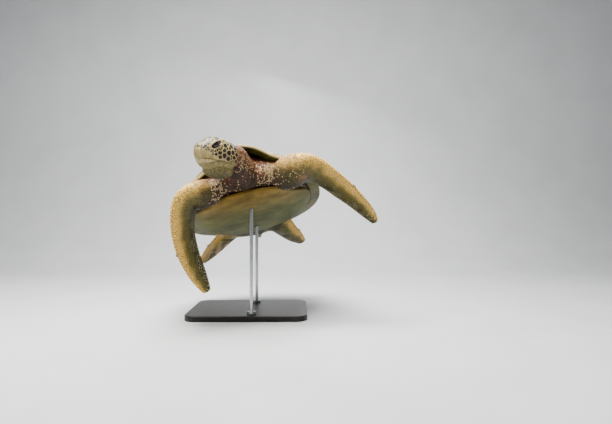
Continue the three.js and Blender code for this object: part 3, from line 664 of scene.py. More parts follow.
@dataclass(frozen=True)
class HeadForm(Loft):
    """The head: squared ovals from the snout to the neck, in the head's own frame.

    A point is (w s(sin a), y, middle + h s(cos a)), with s(v) = sign(v)|v|^0.88 and a from the
    crown toward the left. A row holds y, w and the heights of the top and the bottom.
    """

    curve: Curve = Curve(
        (
            *((-58, 12, 9, -22), (-55, 18, 15, -40), (-48, 26, 23, -58), (-34, 36, 34, -73)),
            *((-12, 47, 42, -80), (15, 55, 46, -83), (50, 63, 44, -84), (80, 63, 39, -80)),
            (100, 60, 34, -74),
        )
    )
    squareness: float = 0.88
    cap: float = 0.02
    tip: tuple = (-60.0, -4.0)

    def share_at(self, y: Array) -> Array:
        """The share along at places behind the eyes."""
        shares = np.linspace(0, 1, 400)
        return np.interp(y, self.curve.at(shares)[:, 0], shares)

    def squared(self, value: Array) -> Array:
        """s(v)."""
        return np.sign(value) * np.abs(value) ** self.squareness

    def place(self, shares: Array, angles: Array, inset: float = 0.0) -> Array:
        """Points of the head; see Loft.place. Below share 0 they close over the snout."""
        shares, angles = np.broadcast_arrays(shares, angles)
        inset = np.broadcast_to(inset, shares.shape).ravel()
        rows = self.curve.at(np.clip(shares.ravel(), 0, 1))
        beyond = np.clip(-shares.ravel() / self.cap, 0, 1)
        shrink = np.sqrt(1 - beyond**2)
        angle = angles.ravel()
        middle = (rows[:, 2] + rows[:, 3]) / 2
        high = (rows[:, 2] - rows[:, 3]) / 2 - inset
        x = (rows[:, 1] - inset) * self.squared(np.sin(angle)) * shrink
        y = rows[:, 0] + (self.tip[0] + inset - self.curve.rows[0][0]) * beyond
        z = middle + (self.tip[1] - middle) * beyond + high * self.squared(np.cos(angle)) * shrink
        return self.drawn(np.stack([x, y, z], axis=-1)).reshape(shares.shape + (3,))

    def drawn(self, points: Array, way: int = 1) -> Array:
        """The ovals' points with the nose drawn forward and the crown filled out.

        Args:
            points: Places on the plain ovals.
            way: 1 to draw them out, or -1 for the way back.
        """
        x, y, z = points[..., 0], points[..., 1], points[..., 2]
        nose = smooth_step(-y, 20, 58) * smooth_step(z, -80, -6)
        crown = smooth_step(z, -5, 34) * (4.5 * bump(y, 20, 42) - 7.5 * bump(y, -45, 20))
        return np.stack([x, y - way * 9.0 * nose, z + way * crown], axis=-1)

    def outside(self, points: Array) -> Array:
        """Below 1 inside the head and above it outside: |x/w|^n + |(z - middle)/h|^n."""
        rows = self.curve.at(np.linspace(0, 1, 400))
        half, top, bottom = (np.interp(points[..., 1], rows[:, 0], rows[:, k]) for k in (1, 2, 3))
        power = 2 / self.squareness
        upward = (points[..., 2] - (top + bottom) / 2) / ((top - bottom) / 2)
        value = np.abs(points[..., 0] / half) ** power + np.abs(upward) ** power
        return value + np.maximum((self.curve.rows[0][0] - points[..., 1]) / 2.0, 0) * 2

    def cast(self, starts: Array, ways: Array) -> Array:
        """Where rays from inside leave the head, by halving the span between in and out.

        Args:
            starts: Points inside.
            ways: Directions one long.
        """
        low = np.zeros(starts.shape[:-1])
        high = np.full(starts.shape[:-1], 160.0)
        for _ in range(26):
            middle = (low + high) / 2
            inside = self.outside(starts + ways * middle[..., None]) < 1
            low, high = np.where(inside, middle, low), np.where(inside, high, middle)
        return starts + ways * low[..., None]


HEAD = HeadForm()
MOUTH = ((-30, 10, 34, 40), (-42, -46, -47, -50))  # places behind the eyes, and heights
NOSTRIL = (7.5, -57.0, 4.5)


def folded(points: Array) -> Array:
    """Points of the head, with those on its right carried over to its left."""
    return points * np.where(points[:, :1] < 0, [-1, 1, 1], [1, 1, 1])


@dataclass(frozen=True)
class EyeForm:
    """One eye: a ball, and the slanting almond that its lids leave open."""

    side: int = 1
    radius: float = 17.0
    centre: tuple = (34.5, 0.0, 14.0)
    outward: tuple = (16.0, -3.5, 2.5)
    slit: tuple = (0.0, 0.8, 0.6)
    half_length: float = 15.8
    upper: float = 8.0
    lower: float = 6.8

    def axes(self) -> tuple[Array, Array, Array, Array]:
        """The centre, then the outward, lengthwise and upward directions, for the left eye."""
        out = unit(np.array(self.outward))
        along = np.array(self.slit)
        along = unit(along - out * (along @ out))
        return np.array(self.centre), out, along, np.cross(out, along)

    def placed(self, shape: Shape) -> Shape:
        """A shape made for the left eye, on this eye's side."""
        shape.points = shape.points * [self.side, 1, 1]
        return shape.facing_out()

    def spread(self, points: Array, length: float, height: float) -> Array:
        """How far points lie from the middle of the left eye's opening, over two half axes."""
        centre, out, along, up = self.axes()
        offset = points - (centre + out * 14.0)
        q = np.hypot(dot(offset, along) / length, dot(offset, up) / height)
        return q + 9.0 * (np.abs(dot(offset, out)) > 22)

    def orbit(self, points: Array) -> Array:
        """How deep the head's surface dips toward the corners of the eye."""
        away = self.spread(points * [self.side, 1, 1], 28.0, 15.5)
        return 6.5 * (1 - smooth_step(away, 0.42, 1.0))

    def on_ball(self, a: Array, b: Array, radius: float) -> Array:
        """Points a along and b up, seen from outside, on a ball of a radius round the eye."""
        centre, out, along, up = self.axes()
        shrink = np.minimum(1.0, 0.975 * radius / np.maximum(np.hypot(a, b), 1e-6))
        a, b = a * shrink, b * shrink
        height = np.sqrt(np.maximum(radius**2 - a * a - b * b, 0.0))
        return centre + a[..., None] * along + b[..., None] * up + height[..., None] * out

    def lids(self) -> Shape:
        """Both lids as one ring of flesh over the ball, with a rolled edge and a fold.

        The opening is an almond: half_length cos t along, and lift |sin t|^1.25 up or down. The
        lids' section is rows of distance from the opening and radius from the eye's centre.
        """
        turn = turns_of(112)
        lift = np.where(np.sin(turn) > 0, self.upper, self.lower)
        a = self.half_length * np.cos(turn)
        b = lift * np.sign(np.sin(turn)) * np.abs(np.sin(turn)) ** 1.25
        length = np.maximum(np.hypot(a, b), 1e-6)
        edge = ((0.0, 15.2), (0.0, 16.6), (0.1, 17.7), (0.6, 18.5), (1.5, 19.0))
        fold = ((2.6, 19.0), (3.3, 18.5), (4.1, 19.0), (5.5, 19.6), (8.0, 19.6))
        back = ((11.0, 19.2), (15.0, 19.0), (15.0, 15.4), (8.0, 15.2), (4.0, 15.2))
        grown = [(1.0 + out / length, radius) for out, radius in edge + fold + back]
        rings = [self.on_ball(a * grow, b * grow, radius) for grow, radius in grown]
        return self.placed(wrapped(np.stack(rings, axis=1)))

    def ball(self) -> Shape:
        """The eyeball, a little fuller over the pupil, with each point's angle from its middle."""
        centre, out, along, up = self.axes()
        turn = turns_of(72)[None, :, None]
        polar = np.concatenate([np.linspace(0.03, 1.2, 34), np.linspace(1.3, 3.1, 14)])
        swell = self.radius + 0.7 * np.exp(-((polar / 0.5) ** 2)) - 0.15
        radial = np.sin(polar)[:, None, None] * (np.cos(turn) * along + np.sin(turn) * up)
        points = centre + swell[:, None, None] * (np.cos(polar)[:, None, None] * out + radial)
        shape = skinned(points, centre + out * (self.radius + 0.55), centre - out * (self.radius - 0.15))
        shape.marks["polar"] = np.append(np.repeat(polar, 72), [0.0, math.pi])
        return self.placed(shape)


# ------------------------------------------------------------------ colours and markings


def colour(red: float, green: float, blue: float) -> tuple:
    """A colour given out of 255, as linear light."""
    c = np.array([red, green, blue]) / 255.0
    return tuple(np.where(c <= 0.04045, c / 12.92, ((c + 0.055) / 1.055) ** 2.4))


def mixed(a: Array, b: Array, share: Array) -> Array:
    """Colours part of the way from a to b."""
    return a + (b - a) * np.asarray(share)[..., None]


class Hue(Enum):
    """The animal's colours, some of which also serve as painted shade."""

    NECK = (140, 80, 54)
    # The two dark neck colours serve partly as painted shade, laid toward the neck's underside, and partly
    # as random dark patches.
    NECK_DARK_AND_SHADED = (58, 40, 31)
    NECK_GAP = (98, 72, 53)
    NECK_GAP_DARK_AND_SHADED = (62, 48, 37)
    CREAM = (226, 200, 150)
    UNDER = (108, 100, 54)
    TRAILING = (58, 56, 34)
    TAN = (190, 162, 122)
    BACK_SCALE = (74, 62, 44)
    BACK_GAP = (186, 176, 132)
    LEADING = (242, 200, 112)
    LEADING_GAP = (140, 102, 52)
    HEAD_SCALE = (84, 84, 78)
    CHEEK_SCALE = (52, 48, 39)
    HEAD_GAP = (200, 180, 134)
    THROAT = (150, 138, 90)
    # Dark eyelid skin, also painted into the mouth line and the nostrils as shade.
    LID_AND_HOLLOW_SHADE = (46, 40, 33)
    PINK = (172, 114, 92)
    DARK = (52, 46, 33)

    @property
    def light(self) -> Array:
        """The colour as linear light."""
        return np.array(colour(*self.value))


def pair(scale: Hue, gap: Hue) -> Array:
    """A colour of scales and one of the skin between them, to be mixed by place."""
    return np.array([[scale.light], [gap.light]])


@dataclass(frozen=True)
class Markings:
    """The colours of the skin and of the scales over it, by place."""

    chafed: tuple = (244, -336, -79)  # a pink patch under the left shoulder

    def at(self, points: Array) -> Array:
        """The colours of the scales, and those of the skin between them, with painted shade toward the
        underside of the neck and trunk.

        Args:
            points: Places in the body's frame, in millimetres.
        """
        # Painted shade: the skin turns to the dark neck colours toward the underside of the neck and trunk,
        # as if in shadow; random dark patches are added to it.
        shade = 0.85 * smooth_step(-points[:, 2] + ripple(points, 110) * 22, -15, 60)
        shade = np.clip(shade + 0.5 * smooth_step(ripple(points, 34, 5.0), 0.1, 0.7), 0, 1)
        tint = mixed(pair(Hue.NECK, Hue.NECK_GAP), pair(Hue.NECK_DARK_AND_SHADED, Hue.NECK_GAP_DARK_AND_SHADED), shade)
        tint = mixed(tint, pair(Hue.THROAT, Hue.TRAILING), smooth_step(points[:, 1], 60, 200))
        for limb in LIMBS.values():
            share, toward, upward = limb.locate(points)
            near = 1 - smooth_step(np.hypot(toward, upward), 1.25, 1.6)
            weight = near * smooth_step(share + ripple(points, 60) * 0.03, limb.root, limb.root + 0.16)
            patches = limb.tan * smooth_step(ripple(points, 52, 4.0), -0.5, 0.3)
            on_limb = self.limb(points, share, toward, upward * limb.dorsal)
            on_limb = mixed(on_limb, pair(Hue.TAN, Hue.CREAM), np.array([patches, patches * 0.6]))
            tint = mixed(tint, on_limb, weight)
        chafe = bump(np.linalg.norm(points - self.chafed, axis=1), 0, 24)
        tint = mixed(tint, Hue.PINK.light, chafe * (0.3 + 0.25 * ripple(points, 15)))
        local = carried(points, BODY_TO_HEAD)
        weight = 1 - smooth_step(local[:, 1] + ripple(points, 60) * 6, 88, 118)
        plain = HEAD.drawn(np.minimum(local, [FAR, HEAD_BACK - 1, FAR]), -1)
        return mixed(tint, self.head(local), weight * (HEAD.outside(plain) < 2.6))

    @staticmethod
    def limb(points: Array, share: Array, toward: Array, dorsal: Array) -> Array:
        """A limb's colours: dark above, olive below, golden toward the leading edge."""
        wander = ripple(points, 70) * 0.12
        above = smooth_step(dorsal + wander, -0.12, 0.3)
        face = mixed(Hue.TRAILING.light, Hue.UNDER.light, smooth_step(toward + wander * 2, -0.9, 0.1))
        face = mixed(face, Hue.LEADING.light, 0.8 * smooth_step(toward + wander, 0.1, 0.8))
        tint = mixed(np.array([face, face * 0.66]), pair(Hue.BACK_SCALE, Hue.BACK_GAP), above)
        spots = smooth_step(-toward + (share - 0.75) * 0.8 + ripple(points, 46, 2.0) * 0.45, 0.4, 0.6)
        spots = spots * smooth_step(share, 0.38, 0.55) * (1 - above)
        tint = mixed(tint, pair(Hue.DARK, Hue.BACK_GAP), np.array([spots, spots * 0.85]))
        edge = smooth_step(toward + wander * 0.6, 0.76, 0.92)
        return mixed(tint, pair(Hue.LEADING, Hue.LEADING_GAP), edge)

    @staticmethod
    def head(local: Array) -> Array:
        """The head's colours: dark scales with cream between them, paler under the jaw, with painted shade
        at the bottom of the throat, in the mouth line and in the nostrils.
        """
        x, y, z = np.abs(local[:, 0]), local[:, 1], local[:, 2]
        below = smooth_step(-z, 42, 56)
        cheek = smooth_step(x, 22, 44) * smooth_step(y, -34, -4)
        # Painted shade: the throat darkens toward its bottom, as if in shadow.
        throat = mixed(Hue.THROAT.light, Hue.TRAILING.light, 0.75 * smooth_step(-z, 70, 112))
        scale = mixed(mixed(Hue.HEAD_SCALE.light, Hue.CHEEK_SCALE.light, cheek), throat, below)
        gap = mixed(Hue.HEAD_GAP.light, throat * 0.72, below)
        # Painted shade: the mouth's groove and the nostrils' hollows are darkened with the lid colour.
        mouth = bump(z - np.interp(y, *MOUTH), 0, 1.8) * (y < 40)
        nostril = bump(np.hypot(x - NOSTRIL[0], z - NOSTRIL[2]), 0, 4.2) * (y < -50)
        gap = mixed(gap, Hue.LID_AND_HOLLOW_SHADE.light, np.maximum(mouth * 0.8, nostril * 0.9))
        away = EyeForm().spread(folded(local), 23.0, 10.2)
        tint = mixed(np.array([scale, gap]), Hue.HEAD_GAP.light, bump(away, 1.35, 0.2) * 0.8)
        return mixed(tint, Hue.LID_AND_HOLLOW_SHADE.light, 1 - smooth_step(away, 0.95, 1.15))


MARKINGS = Markings()


# ------------------------------------------------------------------ the one skin


@dataclass
class Flesh:
    """The skin over the trunk, neck, head, limbs and tail, as one closed surface."""

    inset: float = 1.1
    throat: tuple = ((50, 72, 42), (-6, 54, -73))
    collar: tuple = ((205, 62, 68), (0, -312, -12))
    hips: tuple = ((165, 80, 46), (0, 282, -68))
    nostril_size: tuple = (3.3, 5.5, 2.5)
    round_count: int = 132
    soft_from: float = 0.12  # how far two normals differ, as 1 - cos, where it softens
    soft_reach: int = 6
    soft_passes: int = 44
    crease: float = 75.0

    def core(self) -> Shape:
        """The trunk inside the plates, bare between them in front and behind."""
        bearing = turns_of(self.round_count)
        reach, low = SHELL.rim_at(bearing)
        edge, high = SHELL.edge_at(bearing)
        over = SHELL.overhang(bearing)
        flesh = reach - over - 1.0
        depth = PLATE_THICKNESS + 1.0
        roof = [SHELL.ring(SHELL.dome, bearing, flesh * s, -depth) for s in (0.2, 0.45, 0.7, 0.88, 1.0)]
        top = low - RIM_THICKNESS - RIM_SLOPE * over - 0.4
        foot = np.minimum(edge + 0.5, flesh - 1.0)
        wall = [
            SHELL.place_of(bearing, flesh + (foot - flesh) * share, top + (high + 1.2 - top) * share)
            for share in np.linspace(0, 1, 12)
        ]
        wall.append(SHELL.place_of(bearing, foot, high + depth + 0.6))
        floor = [SHELL.ring(SHELL.belly, bearing, edge * s, depth + 0.6) for s in (0.8, 0.45, 0.15)]
        return skinned(np.array(roof + wall + floor))

    def under_plates(self) -> Shape:
        """The room that the plastron's plates take, and all below it."""
        bearing = turns_of(self.round_count)
        edge, high = SHELL.edge_at(bearing)
        rise = PLATE_THICKNESS + 0.8
        shares = (0.2, 0.5, 0.8, 0.93, 1.0)
        rings = [SHELL.ring(SHELL.belly, bearing, edge * share, rise, 0.2) for share in shares]
        return skinned(np.array(rings + [SHELL.place_of(bearing, edge + 0.2, high - 90.0)]))

    def neck(self) -> Shape:
        """The neck, creased across, most on the inside of its bend."""
        shares, angles = np.linspace(0, 0.999, 92)[:, None], turns_of(112)[None, :]
        places = NECK.place(shares, angles)
        inner = smooth_step(-places[..., 0] + 0.35 * places[..., 1] + 190, -30, 60)
        wander = ripple(places, 130) * 0.5 + ripple(places, 55, 1.0) * 0.16
        across = creases(shares * NECK.length / 27.0 + wander)
        small = creases(shares * NECK.length / 11.0 + wander * 2.2 + 0.3)
        depth = across * (1.6 + 2.6 * inner) + small * (0.5 + 0.5 * inner)
        return skinned(NECK.place(shares, angles, self.inset + depth))

    def head(self) -> Shape:
        """The head, with its orbits, brows, mouth line and the hollow behind the jaw."""
        y = spaced(-57.9, 100.0, ((-22, 37, 0.95),), 2.6)
        cap = -HEAD.cap * np.sin(np.linspace(0.98, 0.15, 6) * math.pi / 2)
        shares = np.concatenate([cap, HEAD.share_at(y)])[:, None]
        half = spaced(0.0, math.pi, ((0.6, 1.55, 0.0165), (1.86, 2.04, 0.02)), 0.042)
        angles = np.concatenate([half, -half[-2:0:-1]])[None, :]
        base = HEAD.place(shares, angles)
        depth = sum(EyeForm(side).orbit(base) for _, side in SIDES)
        x, y, z = np.abs(base[..., 0]), base[..., 1], base[..., 2]
        brow = bump(z - ((y + 34) * 0.405 + 9), 2.0, 6.5) * smooth_step(y, -32, -14)
        depth = depth - 1.3 * brow * (1 - smooth_step(y, 30, 52)) * smooth_step(x, 16, 28)
        mouth = bump(z - np.interp(y, *MOUTH), 0, 1.5)
        depth = depth + 2.6 * mouth * (1 - smooth_step(y, 34, 42)) * (x > 8)
        hollow = bump(y, 62, 24) * bump(z, -28, 22) * smooth_step(x, 30, 50)
        depth = depth + 2.0 * hollow + 0.3 * ripple(base, 34)
        return skinned(HEAD.place(shares, angles, self.inset + depth))

    def limb(self, limb: Limb) -> Shape:
        """A limb, folded at its root, with the ridges of its digits under the skin."""
        shares, angles = limb.shares(limb.rings), turns_of(80)[None, :]
        wander = ripple(limb.place(shares, angles), 120) * 0.6
        fold = creases(shares * limb.length / 26.0 + wander) * 3.0 * (1 - smooth_step(shares, 0.3, 0.55))
        fingers = np.cos(angles) * 2.4 + shares * 1.1
        ridge = (0.5 - 0.5 * np.cos(fingers * FULL_TURN)) * 0.8 * smooth_step(shares, 0.5, 0.7)
        thin = np.abs(np.sin(angles)) ** 2 * (1 - smooth_step(shares, 0.9, 1.0))
        return skinned(limb.place(shares, angles, self.inset + (fold + ridge) * thin))

    def nostril(self, side: int) -> Shape:
        """The hollow of one nostril."""
        spot = np.array(NOSTRIL) * [side, 1, 1]
        return ellipsoid(self.nostril_size, HEAD.drawn(spot), 24)

    def bodies(self) -> list[tuple[str, Shape, Array]]:
        """Every body that is joined to the core or cut from it, with the frame it is shaped in."""
        joins = [(ellipsoid(*self.collar), BODY), (ellipsoid(*self.hips), BODY), (self.neck(), BODY)]
        tail = TAIL.place(TAIL.shares(40), turns_of(48)[None, :], self.inset)
        joins += [(skinned(tail), BODY), (ellipsoid(*self.throat), HEAD_FRAME), (self.head(), HEAD_FRAME)]
        joins += [(EyeForm(side).lids(), HEAD_FRAME) for _, side in SIDES]
        joins += [(self.limb(limb), BODY) for limb in LIMBS.values()]
        cuts = [(self.nostril(side), HEAD_FRAME) for _, side in SIDES] + [(self.under_plates(), BODY)]
        return [("UNION", *body) for body in joins] + [("DIFFERENCE", *body) for body in cuts]

    def build(self) -> Thing:
        """Joins the bodies of flesh, softens where they meet, and colours the skin."""
        skin = mesh_object("skin", self.core(), BODY)
        helpers = []
        for operation, shape, matrix in self.bodies():
            helper = mesh_object("helper", shape, matrix)
            helpers.append(helper)
            cut = skin.modifiers.new(helper.name, "BOOLEAN")
            cut.operation, cut.solver, cut.object = operation, "MANIFOLD", helper
        graph = bpy.context.evaluated_depsgraph_get()
        mesh = bpy.data.meshes.new_from_object(skin.evaluated_get(graph))
        skin.modifiers.clear()
        skin.data = mesh
        for helper in helpers:
            bpy.data.objects.remove(helper)
        self.soften(mesh)
        store_mark(mesh, "tint", MARKINGS.at(carried(point_rows(mesh), TO_BODY))[1])
        mesh.shade_smooth()
        mesh.set_sharp_from_angle(angle=math.radians(self.crease))
        return skin

    def soften(self, mesh: bpy.types.Mesh) -> None:
        """Rounds the creases where the bodies of flesh meet, away from the head and the tips.

        Each pass moves a point toward the mean of its neighbours by half its share, where the
        share is 1 at a crease and fades over a few edges.
        """
        points = point_rows(mesh)
        local = carried(points, TO_BODY)
        ends = np.empty(len(mesh.edges) * 2, np.int32)
        mesh.edges.foreach_get("vertices", ends)
        a, b = ends.reshape(-1, 2).T
        count = np.maximum(np.bincount(a, minlength=len(points)) + np.bincount(b, minlength=len(points)), 1)

        def spread(values: Array) -> Array:
            """Each point's mean over its neighbours."""
            total = np.bincount(a, values[b], len(points)) + np.bincount(b, values[a], len(points))
            return total / count

        normals = point_rows(mesh, "normal", 1.0)
        sharp = 1 - dot(normals[a], normals[b])
        turn = np.zeros(len(points))
        np.maximum.at(turn, a, sharp)
        np.maximum.at(turn, b, sharp)
        share = (turn > self.soft_from).astype(float)
        on_head = carried(local, BODY_TO_HEAD)
        share *= np.maximum(smooth_step(on_head[:, 1], 84, 96), smooth_step(-on_head[:, 2], 56, 66))
        for limb in LIMBS.values():
            along, toward, upward = limb.locate(local)
            share *= ~((np.hypot(toward, upward) < 1.3) & (along > limb.firm))
        for _ in range(self.soft_reach):
            share = np.maximum(share, spread(share))
        share = np.clip(share * 1.2, 0, 1)
        for _ in range(self.soft_passes):
            mean = np.stack([spread(points[:, k]) for k in range(3)], axis=1)
            points += (mean - points) * (0.5 * share)[:, None]
        mesh.vertices.foreach_set("co", (points * 0.001).astype(np.float32).ravel())
        mesh.update()


# ------------------------------------------------------------------ the shell's plates


@dataclass
class PlateMaker:
    """Plates that are star-shaped about a middle, laid on a surface and rounded at their seams.

    A point is middle + reach * share along each ray, its height that of the surface, less a
    rounded fall within a few millimetres of the seam, plus faint rings of growth.
    """

    height: Callable[[Array, Array], Array]
    outward: int = 1
    thickness: float = 10.0
    gap: float = 0.3
    roll: float = 2.6
    growth: float = 0.16
    swell: float = 1.3
    edges: tuple = (7.0, 5.0, 3.6, 2.4, 1.5, 0.8, 0.3, 0.0)

    def plate(self, outline: Array, bound: Array, middle: Sequence[float], tone: float) -> Shape:
        """One closed plate.

        Args:
            outline: The plate's own corners, in order.
            bound: A closed line that cuts it off.
            middle: The place its growth starts from.
            tone: A number for its colour.
        """
        middle = np.array(middle, float)
        corners = np.arctan2(outline[:, 1] - middle[1], outline[:, 0] - middle[0])
        dense = np.linspace(-math.pi, math.pi, 1441)[:-1]
        over = reach_of(middle, dense, outline) > reach_of(middle, dense, bound)
        crossed = dense[over != np.roll(over, -1)] + math.pi / 1440
        angles = np.sort(np.concatenate([np.linspace(-math.pi, math.pi, 121)[:-1], corners, crossed]))
        angles = angles[np.concatenate([[True], np.diff(angles) > 2e-3])]
        reach = np.minimum(reach_of(middle, angles, outline), reach_of(middle, angles, bound)) - self.gap
        way = ways_of(angles)
        inner = np.linspace(0.05, 1, 22)[:, None] * (reach - self.edges[0])[None, :]
        outer = reach[None, :] - np.array(self.edges[1:])[:, None]
        radii = np.vstack([inner, outer])
        flat = middle + radii[..., None] * way[None]
        seam = middle + reach[:, None] * way
        depth = self.from_seam(flat, seam)
        top = self.height(flat[..., 0], flat[..., 1]) + self.outward * self.relief(flat, depth)
        face = np.concatenate([flat, top[..., None]], axis=-1)
        inside = np.stack([self.inside(seam), self.inside(middle + 0.5 * reach[:, None] * way)])
        centre = float(self.height(middle[:1], middle[1:])[0])
        start = np.array([*middle, centre + self.outward * 1.0])
        end = np.array([*middle, centre - self.outward * self.thickness])
        shape = skinned(np.concatenate([face, inside]), start, end)
        last_two = np.broadcast_to([[1.0], [0.5]], (2, len(angles)))
        share = np.append(np.vstack([radii / np.maximum(reach, 1e-6), last_two]), [0.0, 0.0])
        turn = np.append(np.tile(angles, len(radii) + 2), [0.0, 0.0])
        near = np.append(np.vstack([depth, 0 * last_two]), [40.0, 0.0])
        shape.marks["spoke"] = np.column_stack([ways_of(turn), share * 0.22 + tone * 7.3])
        shape.marks["seam"] = np.clip(near / 30.0, 0, 1)
        return shape

    def inside(self, flat: Array) -> Array:
        """Places on the plate's inner face."""
        return np.column_stack([flat, self.height(flat[:, 0], flat[:, 1]) - self.outward * self.thickness])

    @staticmethod
    def from_seam(flat: Array, seam: Array) -> Array:
        """How far each point lies from the nearest side of the seam."""
        points = flat.reshape(-1, 2)
        start, side = seam, np.roll(seam, -1, axis=0) - seam
        square = np.maximum((side**2).sum(1), 1e-9)
        offset = points[:, None] - start[None]
        along = np.clip((offset * side).sum(-1) / square, 0, 1)
        away = np.linalg.norm(offset - along[..., None] * side, axis=-1).min(axis=1)
        return away.reshape(flat.shape[:2])

    def relief(self, flat: Array, depth: Array) -> Array:
        """How far the plate's face stands off its surface."""
        level = np.concatenate([flat, np.zeros(flat.shape[:-1] + (1,))], axis=-1)
        rings = np.sin(FULL_TURN * depth / 8.5 + ripple(level, 60) * 1.2)
        swell = self.swell * (smooth_step(depth, 0, 45) - 0.54)
        fall = self.roll * 0.7 * rounded(depth, self.roll)
        return swell + self.growth * rings * smooth_step(depth, 3, 9) - fall + 0.25 * ripple(level, 48)


